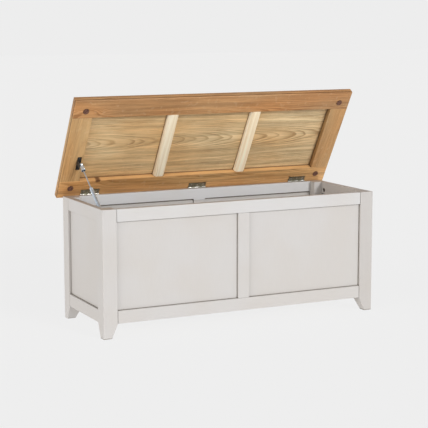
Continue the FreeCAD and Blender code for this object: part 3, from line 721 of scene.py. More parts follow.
    def drift(self, recipe: Recipe, board: Socket) -> Socket:
        """The board's coordinates, wandering slowly as a trunk's fibres do.

        Args:
            recipe: the material's recipe.
            board: the board's coordinates.

        Returns:
            The wandering coordinates.
        """
        shifted = recipe.add("VectorMath", {0: board, 1: (self.seed, self.seed, 0)}, operation="ADD")
        slow = recipe.add("TexNoise", {"Vector": recipe.stretch(shifted.outputs[0], (3.2, 11, 11)),
                                       "Scale": 1.0, "Detail": 3.0, "Roughness": 0.55})
        centred = recipe.add("VectorMath", {0: slow.outputs["Color"], 1: (0.5, 0.5, 0.5)},
                             operation="SUBTRACT")
        sway = recipe.stretch(centred.outputs[0], (0.0, 0.030 * self.sway, 0.020 * self.sway))
        return recipe.add("VectorMath", {0: board, 1: sway}, operation="ADD").outputs[0]

    def rings(self, recipe: Recipe, drift: Socket, pull: Socket | None) -> Socket:
        """How dark the growth ring is at a point.

        Args:
            recipe: the material's recipe.
            drift: the board's wandering coordinates.
            pull: how far the knots push the rings aside, or None for a clear board.

        Returns:
            A share from 0 in the early wood to 1 in the late wood.
        """
        split = recipe.add("SeparateXYZ", {0: drift})
        across = recipe.sum("ADD", split.outputs[1], self.pith_across)
        sink = recipe.sum("MULTIPLY_ADD", split.outputs[0], self.tilt, self.pith_depth)
        depth = recipe.sum("ADD", split.outputs[2], sink)
        if pull is not None:
            across = recipe.sum("ADD", across, pull)
        radius = recipe.sum("SQRT", recipe.sum("ADD", recipe.sum("MULTIPLY", across, across),
                                               recipe.sum("MULTIPLY", depth, depth)))
        year = recipe.sum("DIVIDE", radius, self.ring)
        uneven = recipe.add("TexNoise", {"W": year, "Scale": 0.35, "Detail": 1.0},
                            noise_dimensions="1D").outputs["Fac"]
        late = recipe.add("ValToRGB", {"Fac": recipe.sum("FRACT", recipe.sum("MULTIPLY_ADD", uneven, 2.4,
                                                                              year))})
        fill_ramp(late.color_ramp, self.late_wood)
        weight = recipe.between(recipe.noise(drift, 7.0), 0.35, 0.65, 0.45, 1.0)
        return recipe.sum("MULTIPLY", late.outputs["Color"], weight)

    def knot_fields(self, recipe: Recipe, board: Socket) -> tuple[Socket | None, Socket | None]:
        """Where the knots are, and what they do to the rings.

        Args:
            recipe: the material's recipe.
            board: the board's coordinates.

        Returns:
            How dark the knots are and how far they push the rings aside, or None for each on
            a clear board.
        """
        core, pull = None, None
        split = recipe.add("SeparateXYZ", {0: board})
        for knot in self.knots:
            along = recipe.sum("DIVIDE", recipe.sum("SUBTRACT", split.outputs[0], knot.along),
                               1.5 * knot.radius)
            across = recipe.sum("DIVIDE", recipe.sum("SUBTRACT", split.outputs[1], knot.across),
                                knot.radius)
            square = recipe.sum("ADD", recipe.sum("MULTIPLY", along, along),
                                recipe.sum("MULTIPLY", across, across))
            wobble = recipe.sum("MULTIPLY_ADD", recipe.noise(board, 260.0), 0.9, -0.45)
            dark = recipe.between(recipe.sum("ADD", square, wobble), 1.3, 0.15, 0.0, knot.lay_over)
            hill = recipe.sum("POWER", math.e, recipe.sum("MULTIPLY", square, -0.09))
            push = recipe.sum("MULTIPLY", hill, 2.4 * knot.radius)
            core = dark if core is None else recipe.sum("MAXIMUM", core, dark)
            pull = push if pull is None else recipe.sum("ADD", pull, push)
        return core, pull


def fill_ramp(ramp: bpy.types.ColorRamp, stops: Sequence[tuple[float, float]]) -> None:
    """Set a ramp's stops.

    Args:
        ramp: a new ramp, which has two stops.
        stops: where each stop is and how bright it is, in order.
    """
    for element, (spot, tone) in zip(ramp.elements, (stops[0], stops[-1])):
        element.position, element.color = spot, (tone, tone, tone, 1)
    for spot, tone in stops[1:-1]:
        ramp.elements.new(spot).color = (tone, tone, tone, 1)


@dataclass(frozen=True)
class PaintFinish:
    """Satin stone paint brushed on close-grained wood, with painted shade in its joints and corners."""

    name: str
    along: Axis
    colour: Colour = (0.56, 0.540, 0.525)
    # Painted shade: the dark colour laid in the paint's joints and corners.
    joint: Colour = (0.130, 0.108, 0.078)
    # Painted shade and painted reflection of the oak lid, laid on the upper rim.
    rim_shade_and_reflection: Colour = (0.36, 0.27, 0.20)
    aged: Colour = (0.985, 0.970, 0.950)
    member_tint: Colour = (1.0, 1.0, 1.0)
    joint_shade: float = 0.9
    joint_shade_reach: float = 5.8 * MM
    rim_height: float = 440.5 * MM

    def build(self) -> bpy.types.Material:
        """Mix the finish.

        Returns:
            The material.
        """
        recipe = Recipe(self.name)
        stretch = [1.0, 1.0, 1.0]
        stretch[self.along.value] = 0.045
        strokes = recipe.noise(recipe.stretch(recipe.place(), stretch), 420.0, 3.0, 0.6)
        pits = recipe.noise(recipe.place(), 1500.0, 1.0)
        clouds = recipe.between(recipe.noise(recipe.place(), 4.5, 3.0), 0.35, 0.65)
        coat = [value * tint for value, tint in zip(self.colour, self.member_tint)]
        old_coat = [value * tint for value, tint in zip(coat, self.aged)]
        colour = recipe.blend(clouds, (*coat, 1), (*old_coat, 1))
        colour = recipe.dim(colour, recipe.between(strokes, 0.3, 0.7, 0.985, 1.01))
        # Painted shade and painted reflection of the oak lid on the rim's upper faces.
        colour = recipe.blend(self.rim(recipe), colour, (*self.rim_shade_and_reflection, 1))
        # Painted shade in joints and corners, from an occlusion mask.
        colour = recipe.lay_over(colour, recipe.crevice(self.joint_shade_reach), self.joint_shade, self.joint)
        normal = recipe.bump(strokes, 0.10, 0.3 * MM)
        normal = recipe.bump(pits, 0.05, 0.2 * MM, normal)
        return recipe.close(Base_Color=colour, Roughness=recipe.between(strokes, 0.2, 0.8, 0.46, 0.56),
                            Normal=normal)

    def rim(self, recipe: Recipe) -> Socket:
        """How much painted shade and painted reflection of the oak lid lie on the case's upper rim, on
        faces that point up.

        Args:
            recipe: the material's recipe.

        Returns:
            A share from 0 to 1.
        """
        height = recipe.add("SeparateXYZ", {0: recipe.place()}).outputs[2]
        high = recipe.between(height, self.rim_height - 2.5 * MM, self.rim_height - 0.5 * MM)
        rim_patches = recipe.between(recipe.noise(recipe.place(), 60.0, 3.0), 0.2, 0.8, 0.35, 0.75)
        level = recipe.between(recipe.normal(Axis.Z), 0.4, 0.9)
        return recipe.sum("MULTIPLY", recipe.sum("MULTIPLY", high, level), rim_patches)


@dataclass(frozen=True)
class PineFinish:
    """Bare planed softwood: pale, with soft wide rings."""

    name: str
    grain: Grain = Grain.ACROSS
    on_lid: bool = True
    tone: float = 1.0
    light: Colour = (0.97, 0.86, 0.66)
    dark: Colour = (0.83, 0.66, 0.43)

    def build(self) -> bpy.types.Material:
        """Mix the finish.

        Returns:
            The material.
        """
        recipe = Recipe(self.name)
        board = recipe.place(*lid_turn(self.grain)) if self.on_lid else recipe.place()
        wide = recipe.noise(recipe.stretch(board, (2.0, 90, 90)))
        fine = recipe.noise(recipe.stretch(board, (14, 900, 900)), detail=3.0)
        light, dark = (tuple(self.tone * value for value in wood) for wood in (self.light, self.dark))
        colour = recipe.blend(recipe.between(wide, 0.42, 0.66, 0.0, 0.75), (*light, 1), (*dark, 1))
        colour = recipe.dim(colour, recipe.between(fine, 0.3, 0.7, 0.93, 1.05))
        return recipe.close(Base_Color=colour, Roughness=0.62, Normal=recipe.bump(fine, 0.30, 0.3 * MM))


@dataclass(frozen=True)
class MetalFinish:
    """Plated, lacquered or polished metal with fine scratches, a little tarnish and painted shade in its
    corners.
    """

    name: str
    colour: Colour
    roughness: float
    tarnish: float = 0.25
    metallic: float = 1.0
    tarnished: float = 0.45
    # Painted shade: the dark colour laid in the metal's corners and gaps.
    corner_shade: Colour = (0.05, 0.042, 0.035)
    corner_shade_share: float = 0.7

    def build(self) -> bpy.types.Material:
        """Mix the finish.

        Returns:
            The material.
        """
        recipe = Recipe(self.name)
        patches = recipe.noise(recipe.place(), 160.0, 3.0)
        scratches = recipe.noise(recipe.stretch(recipe.place(), (90, 900, 900)))
        darkened = recipe.between(patches, 0.35, 0.75, 0.0, self.tarnish)
        dark = tuple(self.tarnished * value for value in self.colour)
        colour = recipe.blend(darkened, (*self.colour, 1), (*dark, 1))
        # Painted shade within 4 mm of another wall.
        colour = recipe.lay_over(colour, recipe.crevice(4 * MM), self.corner_shade_share, self.corner_shade)
        rough = recipe.between(scratches, 0.3, 0.7, 0.8 * self.roughness, 1.3 * self.roughness)
        return recipe.close(Base_Color=colour, Roughness=rough, Metallic=self.metallic,
                            Normal=recipe.bump(scratches, 0.08, 0.1 * MM))


@dataclass(frozen=True)
class MouldedFinish:
    """Matt black plastic or brown rubber, slightly pitted."""

    name: str
    colour: Colour
    patch: Colour
    roughness: float = 0.6

    def build(self) -> bpy.types.Material:
        """Mix the finish.

        Returns:
            The material.
        """
        recipe = Recipe(self.name)
        pits = recipe.noise(recipe.place(), 2200.0)
        patches = recipe.between(recipe.noise(recipe.place(), 240.0), 0.4, 0.7)
        colour = recipe.blend(patches, (*self.colour, 1), (*self.patch, 1))
        rough = recipe.between(pits, 0.3, 0.7, self.roughness, self.roughness + 0.15)
        return recipe.close(Base_Color=colour, Roughness=rough, Normal=recipe.bump(pits, 0.15, 0.1 * MM))


@dataclass(frozen=True)
class BackdropFinish:
    """Pale seamless paper, lit mostly from within so that it stays even."""

    name: str
    colour: Colour = (0.08, 0.08, 0.08)
    glow: float = 0.80

    def build(self) -> bpy.types.Material:
        """Mix the finish.

        Returns:
            The material.
        """
        recipe = Recipe(self.name)
        mottle = recipe.between(recipe.noise(recipe.place(), 30.0), 0.3, 0.7, 0.88, 0.92)
        return recipe.close(Base_Color=(*self.colour, 1), Roughness=mottle, Specular_IOR_Level=0.0,
                            Emission_Color=(1, 1, 1, 1), Emission_Strength=self.glow)


# ---------------------------------------------------------------------------------------------
# The painted case


@dataclass
class Case:
    """Posts, rails, centre stiles, panels, floor and fittings of the painted chest."""

    foot_sole: float = 30 * MM
    post_round: float = 1.5 * MM
    rail_round: float = 1.0 * MM
    groove_depth: float = 7 * MM
    groove_stop: float = 6 * MM
    tiny: float = 0.4 * MM
    joint_gap: float = 0.8 * MM
    shadow_width: float = 4.2 * MM
    shadow_depth: float = 2.4 * MM
    short_cheek: float = 6 * MM
    cam_radius: float = 7.5 * MM
    cam_depth: float = 12 * MM
    cam_room: float = 0.2 * MM
    bore_depth: float = 12.3 * MM
    cam_inset: float = 20 * MM
    cam_rise: float = 14 * MM

    def __post_init__(self) -> None:
        """Mix the paint for each way a member can run, and copies of it for a few members: brighter cooler
        copies that are painted light, a darker copy, and copies with fainter painted shade in the joints.
        """
        self.paint = {axis: PaintFinish("stone_paint_" + axis.name.lower(), axis).build() for axis in Axis}
        self.special = {
            # A darker copy of the paint on the front right post.
            "post_front_right": PaintFinish("stone_paint_darker", Axis.Z, member_tint=(0.92, 0.91, 0.90)).build(),
            # Painted light: brighter, cooler copies of the paint on the front and back top rails.
            "front_top_rail": PaintFinish("stone_paint_painted_light", Axis.X, member_tint=(1.05, 1.07, 1.09)).build(),
            "back_top_rail": PaintFinish("stone_paint_cool_painted_light", Axis.X, joint_shade=0.25,
                                         member_tint=(1.12, 1.17, 1.23)).build(),
            # A copy with fainter painted shade in the joints, for the right top rail.
            "right_top_rail": PaintFinish("stone_paint_inner", Axis.Y, joint_shade=0.2).build(),
        }
        # Copies with fainter painted shade in the joints, for the back posts.
        faint_shade = PaintFinish("stone_paint_faint_shade", Axis.Z, joint_shade=0.25).build()
        self.special |= {"post_back_left": faint_shade, "post_back_right": faint_shade}

    def coat(self, node: str, along: Axis) -> bpy.types.Material:
        """The paint of one member, from its own batch where it has one."""
        return self.special.get(node, self.paint[along])

    def build(self) -> None:
        """Make every piece of the case."""
        self.make_posts()
        for side in ("front", "back"):
            for level in ("top", "bottom"):
                self.make_rail("%s_%s_rail" % (side, level), Axis.X, level)
            self.make_centre_stile(side)
        for side in ("left", "right"):
            for level in ("top", "bottom"):
                self.make_rail("%s_%s_rail" % (side, level), Axis.Y, level)
        for node in ("front_panel_left", "front_panel_right", "back_panel_left", "back_panel_right",
                     "left_end_panel", "right_end_panel"):
            self.make_panel(node)
        dress_node("floor_board", self.paint[Axis.X])
        self.make_cam_locks()

    def make_posts(self) -> None:
        """The front left post, then the other three as turned copies of it."""
        low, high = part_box("post_front_left")
        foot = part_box("front_bottom_rail")[0].z
        size = high.x - low.x
        post = start_block("corner_post_front_left", low, high)
        with editing(post, "VERT"):
            bpy.ops.mesh.select_all(action="SELECT")
            bpy.ops.mesh.bisect(plane_co=(0, 0, foot), plane_no=(0, 0, 1))
        for axis in (Axis.X, Axis.Y):
            with editing(post, "VERT") as mesh:
                inner = high[axis.value]
                pick(mesh, mesh.verts, lambda v: v.co.z < self.tiny + low.z
                     and abs(v.co[axis.value] - inner) < self.tiny)
                bpy.ops.transform.translate(value=axis.unit() * (self.foot_sole - size))
        round_edges(post, self.post_round, 3,
                    lambda edge: abs(edge.verts[0].co.z - edge.verts[1].co.z) > self.post_round)
        round_edges(post, self.tiny, 2,
                    lambda edge: min(v.co.z for v in edge.verts) > high.z - self.tiny
                    or max(v.co.z for v in edge.verts) < low.z + self.tiny)
        carve(post, [self.post_groove(axis, low, high, foot) for axis in (Axis.X, Axis.Y)])
        shade(post)
        home = Matrix.Translation(-(low + high) / 2)
        for corner, degrees in (("front_right", 90), ("back_right", 180), ("back_left", 270)):
            node = "post_" + corner
            centre = sum(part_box(node), Vector()) / 2
            place = Matrix.Translation(centre) @ Matrix.Rotation(math.radians(degrees), 4, "Z") @ home
            finish_piece(copy_piece(post, "corner_post_" + corner, place), node, self.coat(node, Axis.Z))
        finish_piece(post, "post_front_left", self.paint[Axis.Z])

    def post_groove(self, axis: Axis, low: Vector, high: Vector, foot: float) -> bpy.types.Object:
        """A cutter for the groove that holds the panel running off along an axis.

        Args:
            axis: the way the panel runs off.
            low: the post's lowest corner; not used.
            high: the post's highest corner.
            foot: the height of the top of the foot.

        Returns:
            The cutter.
        """
        panel_low, panel_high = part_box("front_panel_left" if axis is Axis.X else "left_end_panel")
        start, end = panel_low.copy(), panel_high.copy()
        start[axis.value] = high[axis.value] - self.groove_depth
        end[axis.value] = high[axis.value] + self.groove_depth
        start.z, end.z = foot + self.groove_stop, high.z - self.groove_stop
        return start_block("groove", start, end)

    def make_rail(self, node: str, along: Axis, level: str) -> None:
        """A rail with a tongue at each end and a groove for the panels.

        Args:
            node: the rail's node, which gives its place.
            along: the way it runs.
            level: top or bottom.
        """
        low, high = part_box(node)
        tongue_low, tongue_high = low.copy(), high.copy()
        shoulder = self.groove_depth + (self.joint_gap if node.startswith("front") else 0.0)
        low[along.value] += shoulder
        high[along.value] -= shoulder
        bar = start_block("rail_" + node.removesuffix("_rail"), low, high)
        self.ease_bar(bar)
        panel_low, panel_high = self.panel_beside(node)
        across = (Axis.Y if along is Axis.X else Axis.X).value
        tongue_low[across], tongue_high[across] = panel_low[across], panel_high[across]
        if level == "top":
            tongue_high.z -= self.groove_stop
        else:
            tongue_low.z += self.groove_stop
        build_on(bar, [start_block("tongue", tongue_low, tongue_high)])
        groove_low, groove_high = panel_low.copy(), panel_high.copy()
        groove_low[along.value] = low[along.value] - 2 * self.groove_depth
        groove_high[along.value] = high[along.value] + 2 * self.groove_depth
        groove_low.z = (low.z if level == "top" else high.z) - self.groove_depth
        groove_high.z = groove_low.z + 2 * self.groove_depth
        cutters = [start_block("groove", groove_low, groove_high)]
        if along is Axis.Y:
            cutters += self.cam_bores(node)
        if node == "back_top_rail":
            cutters += [self.cheek_room(hand, low) for hand in ("left", "right")]
        carve(bar, cutters)
        shade(bar)
        finish_piece(bar, node, self.coat(node, along))

    def cam_bores(self, rail: str) -> list[bpy.types.Object]:
        """Cutters for the bores that hold the cams of one end rail.

        Args:
            rail: the end rail's node.

        Returns:
            The cutters.
        """
        radius = self.cam_radius + self.cam_room
        bore = turn_piece("bore", [(radius, -self.bore_depth), (radius, self.cam_depth)], sides=40)
        bores = [copy_piece(bore, "bore_%d" % k, place) for k, place in enumerate(self.cam_places(rail))]
        bpy.data.objects.remove(bore)
        return bores

    def cheek_room(self, hand: str, low: Vector) -> bpy.types.Object:
        """A cutter that shortens the back top rail's inner cheek over one panel.

        Args:
            hand: which back panel it is over, left or right.
            low: the lowest corner of the rail's bar.

        Returns:
            The cutter.
        """
        panel_low, panel_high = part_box("back_panel_" + hand)
        return start_block("cheek", (panel_low.x + self.groove_depth, low.y - MM, low.z - MM),
                           (panel_high.x - self.groove_depth, panel_low.y + MM, low.z + self.short_cheek))

    def ease_bar(self, bar: bpy.types.Object) -> None:
        """Round every edge of a rail or a stile."""
        round_edges(bar, self.rail_round, 3, lambda edge: edge.calc_length() > 3 * self.rail_round)

    def panel_beside(self, node: str) -> tuple[Vector, Vector]:
        """The box of a panel that lies in a rail's or a stile's groove."""
        side = node.split("_")[0]
        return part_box(side + ("_panel_left" if side in ("front", "back") else "_end_panel"))

    def make_centre_stile(self, side: str) -> None:
        """The upright between two panels, grooved on both sides.

        Args:
            side: front or back.
        """
        node = side + "_centre_stile"
        low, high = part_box(node)
        bar_low, bar_high = low.copy(), high.copy()
        bar_low.z += self.groove_depth
        bar_high.z -= self.groove_depth
        bar = start_block("upright_" + side, bar_low, bar_high)
        self.ease_bar(bar)
        panel_low, panel_high = self.panel_beside(node)
        build_on(bar, [start_block("tongue", (low.x, panel_low.y, low.z), (high.x, panel_high.y, high.z))])
        depth = self.groove_depth
        carve(bar, [start_block("groove", (edge - depth, panel_low.y, low.z - depth),
                                (edge + depth, panel_high.y, high.z + depth)) for edge in (low.x, high.x)])
        shade(bar)
        finish_piece(bar, node, self.paint[Axis.Z])

    def make_panel(self, node: str) -> None:
        """A flat panel with eased edges. The back ones have a shadow line under the top rail.

        Args:
            node: the panel's node.
        """
        low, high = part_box(node)
        board = start_block("board_" + node, low, high)
        if node.startswith("back"):
            top = high.z - self.groove_depth + self.short_cheek
            carve(board, [start_block("shadow", (low.x - MM, low.y - MM, top - self.shadow_width),
                                      (high.x + MM, low.y + self.shadow_depth, top))])
        soften(board, self.tiny)
        shade(board)
        finish_piece(board, node, self.paint[Axis.Z])

    def make_cam_locks(self) -> None:
        """Eight dark metal cams: a dished face with a cross slot, sunk in the end rails."""
        radius, depth = self.cam_radius, self.cam_depth
        master = turn_piece("cam", [(radius - 1.0 * MM, -depth), (radius, 1.0 * MM - depth),
                                    (radius, -0.6 * MM), (radius - 0.6 * MM, -0.1 * MM),
                                    (radius - 1.6 * MM, -0.1 * MM), (radius - 2.0 * MM, -0.8 * MM),
                                    (1.0 * MM, -0.8 * MM)], sides=40)
        arm, slim, sunk = 4.2 * MM, 0.7 * MM, 3.0 * MM
        carve(master, [start_block("slot", (-arm, -slim, -sunk), (arm, slim, depth)),
                       start_block("slot", (-slim, -arm, -sunk), (slim, arm, depth))])
        shade(master, 30)
        cams = []
        for rail in ("left_top_rail", "left_bottom_rail", "right_top_rail", "right_bottom_rail"):
            cams += [copy_piece(master, rail + "_cam_%d" % k, place)
                     for k, place in enumerate(self.cam_places(rail))]
        bpy.data.objects.remove(master)
        fittings = join_pieces("cam_lock_set", cams)
        finish_piece(fittings, "cam_locks", HARDWARE["bronze"])
        dress_node("cam_bolts", HARDWARE["zinc"])

    def cam_places(self, rail: str) -> list[Matrix]:
        """Where the cams of one end rail sit in its inner face, facing into the chest.

        Args:
            rail: the end rail's node.

        Returns:
            A place for each cam, with z pointing into the chest.
        """
        low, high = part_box(rail)
        inset = self.cam_inset + self.groove_depth
        inner, face = (high.x, math.pi / 2) if rail.startswith("left") else (low.x, -math.pi / 2)
        return [Matrix.Translation((inner, y, low.z + self.cam_rise)) @ Matrix.Rotation(face, 4, "Y")
                for y in (low.y + inset, high.y - inset)]


# ---------------------------------------------------------------------------------------------
# The oak lid


@dataclass
class Lid:
    """The oak lid, made closed about its hinge and then opened."""

    member: float = 73 * MM
    thickness: float = 26 * MM
    front: float = 408 * MM
    rear: float = 12 * MM
    gap: float = 1.5 * MM
    outer_round: float = 4 * MM
    panel_thickness: float = 8 * MM
    lap: float = 10 * MM
    tenon: float = 15 * MM
    tenon_thickness: float = 8 * MM
    tenon_width: float = 40 * MM
    tenon_cheek: float = 5 * MM
    cleat_width: float = 40 * MM
    cleat_offset: float = 165.7 * MM
    right_cleat_tone: float = 1.10
    cleat_bevel: float = 7 * MM
    arris: float = 0.7 * MM
    knuckle_radius: float = 3.2 * MM
    knuckle_side: float = 0.2 * MM
    bumper_radius: float = 10.5 * MM
    bumper_inset: float = 45 * MM
    bumper_to_hinge: float = 30 * MM
    bumper_thickness: float = 2.7 * MM
    quirk_rise: float = 3.4 * MM
    quirk_width: float = 2.6 * MM
    quirk_depth: float = 2.6 * MM

    @staticmethod
    def hinge() -> Vector:
        """A point on the hinge axis."""
        return Vector(JOINT["lid_hinge"]["pos_m"])

    @staticmethod
    def open_angle() -> float:
        """How far the lid stands open, in degrees."""
        return JOINT["lid_hinge"]["range_deg"][1]

    def __post_init__(self) -> None:
        """Work out the lid's closed edges from its hinge and the frame's width."""
        hinge = self.hinge()
        self.left, self.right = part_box("lid_front_rail")[0].x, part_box("lid_front_rail")[1].x
        self.front_y, self.rear_y = hinge.y - self.front, hinge.y + self.rear
        self.under = hinge.z + self.gap
        self.top = self.under + self.thickness
        self.panel_low = self.top - self.panel_thickness
        self.field_front, self.field_rear = self.front_y + self.member, self.rear_y - self.member

    def open_up(self, piece: bpy.types.Object) -> bpy.types.Object:
        """Turn a piece made on the closed lid to where the open lid holds it.

        Args:
            piece: a piece in its closed place.

        Returns:
            The piece, in its open place.
        """
        hinge = self.hinge()
        swing = Matrix.Rotation(-math.radians(self.open_angle()), 4, "X")
        return move_mesh(piece, Matrix.Translation(hinge) @ swing @ Matrix.Translation(-hinge))

    def build(self) -> None:
        """Make every piece of the lid."""
        self.make_rail("lid_front_rail", "front", OakFinish(
            "oak_front_rail", pith_across=0.33, pith_depth=0.030, tilt=0.03, seed=2.3,
            light=(0.50, 0.275, 0.120), dark=(0.28, 0.120, 0.040), streak=0.30,
            knots=(Knot(self.left + self.bumper_inset, self.bumper_inset - self.front, 0.011, 0.0),)))
        self.make_rail("lid_rear_rail", "rear", OakFinish(
            "oak_rear_rail", pith_across=0.06, pith_depth=0.045, tilt=-0.03, seed=7.1,
            light=(0.62, 0.352, 0.142), dark=(0.34, 0.155, 0.047), streak=0.30,
            knots=(Knot(-0.405, -0.058, 0.0075), Knot(-0.425, -0.028, 0.004, 0.5),
                   Knot(0.392, -0.022, 0.004, 0.6)),
            sap_across=self.field_rear - self.hinge().y))
        self.make_stile("left", OakFinish(
            "oak_left_stile", Grain.ACROSS, pith_across=0.49, seed=4.4,
            contrast=0.40, streak=0.12, dash=0.15,
            light=(0.565, 0.350, 0.158), dark=(0.376, 0.193, 0.068)))
        self.make_stile("right", OakFinish(
            "oak_right_stile", Grain.ACROSS, pith_across=-0.56, seed=9.2,
            contrast=0.45, streak=0.14, dash=0.15,
            light=(0.52, 0.305, 0.130), dark=(0.347, 0.167, 0.056)))
        self.make_panel(OakFinish(
            "oak_panel", pith_across=0.21, pith_depth=0.055, tilt=0.05, ring=0.0029, seed=12.6,
            light=(0.74, 0.545, 0.300), dark=(0.36, 0.200, 0.076), contrast=0.85, dash=0.55, sway=0.45))
        self.make_cleat("left", -self.cleat_offset, 1.0)
        self.make_cleat("right", self.cleat_offset, self.right_cleat_tone)
        self.make_bumpers()

    def rebate(self) -> bpy.types.Object:
        """A cutter for the rebate that the panel lies in.

        Returns:
            The cutter.
        """
        low, high = self.field_corners()
        high.z = self.top + self.panel_thickness
        return start_block("rebate", low, high)

    def field_corners(self) -> tuple[Vector, Vector]:
        """The lowest and the highest corner of the panel, with what lies in the rebate.

        Returns:
            The two corners.
        """
        low = Vector((self.left + self.member, self.field_front, self.panel_low))
        high = Vector((self.right - self.member, self.field_rear, self.top))
        lap = Vector((self.lap, self.lap, 0))
        return low - lap, high + lap

    def quirks(self) -> list[bpy.types.Object]:
        """Cutters for the fine groove that runs round the lid's edge, just above its underside.

        Returns:
            The cutters, for the front, the rear and the two ends.
        """
        low, depth = self.under + self.quirk_rise, self.quirk_depth
        high = low + self.quirk_width
        sides = [((self.left - MM, y - depth), (self.right + MM, y + depth))
                 for y in (self.front_y, self.rear_y)]
        sides += [((x - depth, self.front_y - MM), (x + depth, self.rear_y + MM))
                  for x in (self.left, self.right)]
        return [start_block("quirk", (*near, low), (*far, high)) for near, far in sides]

    def tenons(self) -> list[bpy.types.Object]:
        """Both stiles' tenons at both rails.

        Returns:
            The left stile's tenons and the right stile's, each pair as one block.
        """
        low, half = self.under + self.tenon_cheek, self.tenon_width / 2
        front, rear = self.field_front - self.tenon, self.field_rear + self.tenon
        high = low + self.tenon_thickness
        return [start_block("tenon", (centre - half, front, low), (centre + half, rear, high))
                for centre in (self.left + self.member / 2, self.right - self.member / 2)]

    def make_rail(self, node: str, where: str, oak: OakFinish) -> None:
        """A full-width rail, rounded along the lid's outside, with mortises and a rebate.

        Args:
            node: the rail's node.
            where: front or rear.
            oak: its finish.
        """
        if where == "front":
            near, far, outer = self.front_y, self.field_front, self.front_y
        else:
            near, far, outer = self.field_rear, self.rear_y, self.rear_y
        bar = start_block(where + "_lid_rail", (self.left, near, self.under), (self.right, far, self.top))
        round_edges(bar, self.outer_round, 5,
                    lambda edge: (runs_along(edge, Axis.X) and abs(middle(edge).y - outer) < MM)
                    or runs_along(edge, Axis.Y))
        round_edges(bar, self.arris, 2,
                    lambda edge: runs_along(edge, Axis.X)
                    and abs(middle(edge).y - outer) > self.member - MM)
        cutters = [self.rebate()] + self.tenons() + self.quirks()
        if where == "rear":
            cutters += [self.knuckle_room(hand) for hand in Hinges.hands]
        carve(bar, cutters)
        shade(bar)
        finish_piece(self.open_up(bar), node, oak.build())

    def knuckle_room(self, hand: str) -> bpy.types.Object:
        """A cutter that leaves room in the rear rail for a hinge's knuckles.

        Args:
            hand: which hinge: left, centre or right.

        Returns:
            The cutter.
        """
        hinge = self.hinge()
        pin_low, pin_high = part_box("hinge_pin_" + hand)
        room, side = self.knuckle_radius, self.knuckle_side
        return start_block("room", (pin_low.x - side, hinge.y - room, self.under - MM),
                           (pin_high.x + side, hinge.y + room, hinge.z + room))

    def make_stile(self, hand: str, oak: OakFinish) -> None:
        """An end stile between the rails, with its tenons and its rebate.

        Args:
            hand: left or right.
            oak: its finish.
        """
        outer = self.left if hand == "left" else self.right
        inner = outer + (self.member if hand == "left" else -self.member)
        low_x, high_x = sorted((outer, inner))
        bar = start_block(hand + "_lid_stile", (low_x, self.field_front, self.under),
                          (high_x, self.field_rear, self.top))
        round_edges(bar, self.outer_round, 5,
                    lambda edge: runs_along(edge, Axis.Y) and abs(middle(edge).x - outer) < MM)
        round_edges(bar, self.arris, 2,
                    lambda edge: runs_along(edge, Axis.Y) and abs(middle(edge).x - inner) < MM)
        tenons = self.tenons()
        wanted = tenons.pop(0 if hand == "left" else 1)
        bpy.data.objects.remove(tenons[0])
        build_on(bar, [wanted])
        carve(bar, [self.rebate()] + self.quirks())
        shade(bar)
        finish_piece(self.open_up(bar), "lid_%s_stile" % hand, oak.build())

    def make_panel(self, oak: OakFinish) -> None:
        """The lid's panel, flush with the top.

        Args:
            oak: its finish.
        """
        board = start_block("lid_field", *self.field_corners())
        soften(board, 0.3 * MM)
        shade(board)
        finish_piece(self.open_up(board), "lid_panel", oak.build())

    def make_cleat(self, hand: str, centre: float, tone: float) -> None:
        """A cleat across the panel's underside, bevelled along the edges of its own underside.

        Args:
            hand: left or right.
            centre: where its middle is along the bench.
            tone: how bright its wood is.
        """
        half = self.cleat_width / 2
        bar = start_block(hand + "_cleat", (centre - half, self.field_front, self.under),
                          (centre + half, self.field_rear, self.panel_low))
        round_edges(bar, self.cleat_bevel, 1,
                    lambda edge: runs_along(edge, Axis.Y) and middle(edge).z < self.under + MM)
        soften(bar, 0.5 * MM, 2, 25)
        shade(bar, 25)
        pine = PineFinish("pine_%s_cleat" % hand, tone=tone)
        finish_piece(self.open_up(bar), "lid_cleat_" + hand, pine.build())

    def make_bumpers(self) -> None:
        """Four round rubber bumpers, each dished round the head of its pin."""
        low = self.under - self.bumper_thickness
        radius = self.bumper_radius
        master = turn_piece("bumper", [(radius - 0.2 * MM, self.under), (radius, self.under - 0.5 * MM),
                                       (radius, low + 0.9 * MM), (radius - 0.3 * MM, low + 0.3 * MM),
                                       (radius - 0.9 * MM, low), (radius - 2.6 * MM, low),
                                       (radius - 3.2 * MM, low + 0.9 * MM), (3.2 * MM, low + 1.1 * MM),
                                       (3.0 * MM, low + 0.6 * MM), (2.2 * MM, low + 0.3 * MM),
                                       (0.6 * MM, low + 0.2 * MM)], sides=56)
        shade(master, 60)
        pads = []
        for x in (self.left + self.bumper_inset, self.right - self.bumper_inset):
            for y in (self.front_y + self.bumper_inset, self.hinge().y - self.bumper_to_hinge):
                pads.append(copy_piece(master, "bumper_%d" % len(pads), Matrix.Translation((x, y, 0))))
        bpy.data.objects.remove(master)
        rubber = MouldedFinish("brown_rubber", (0.095, 0.038, 0.024), (0.20, 0.092, 0.055))
        finish_piece(self.open_up(join_pieces("bumper_set", pads)), "lid_bumpers", rubber.build())


# ---------------------------------------------------------------------------------------------
# Hinges and stay


@dataclass
class Hinges:
    """Three butt hinges, their pins and their screws, as the frame has them."""

    hands: tuple[str, ...] = ("left", "centre", "right")

    def build(self) -> None:
        """Dress the leaves, pins and screws."""
        for hand in self.hands:
            dress_node("hinge_case_leaf_" + hand, HARDWARE["plate"])
            # The lid leaves take a darker copy of the plate: painted shade.
            dress_node("hinge_lid_leaf_" + hand, HARDWARE["darkened"])
            dress_node("hinge_pin_" + hand, HARDWARE["zinc"])
        for node in ("hinge_case_screws", "hinge_lid_screws"):
            dress_node(node, HARDWARE["zinc"])


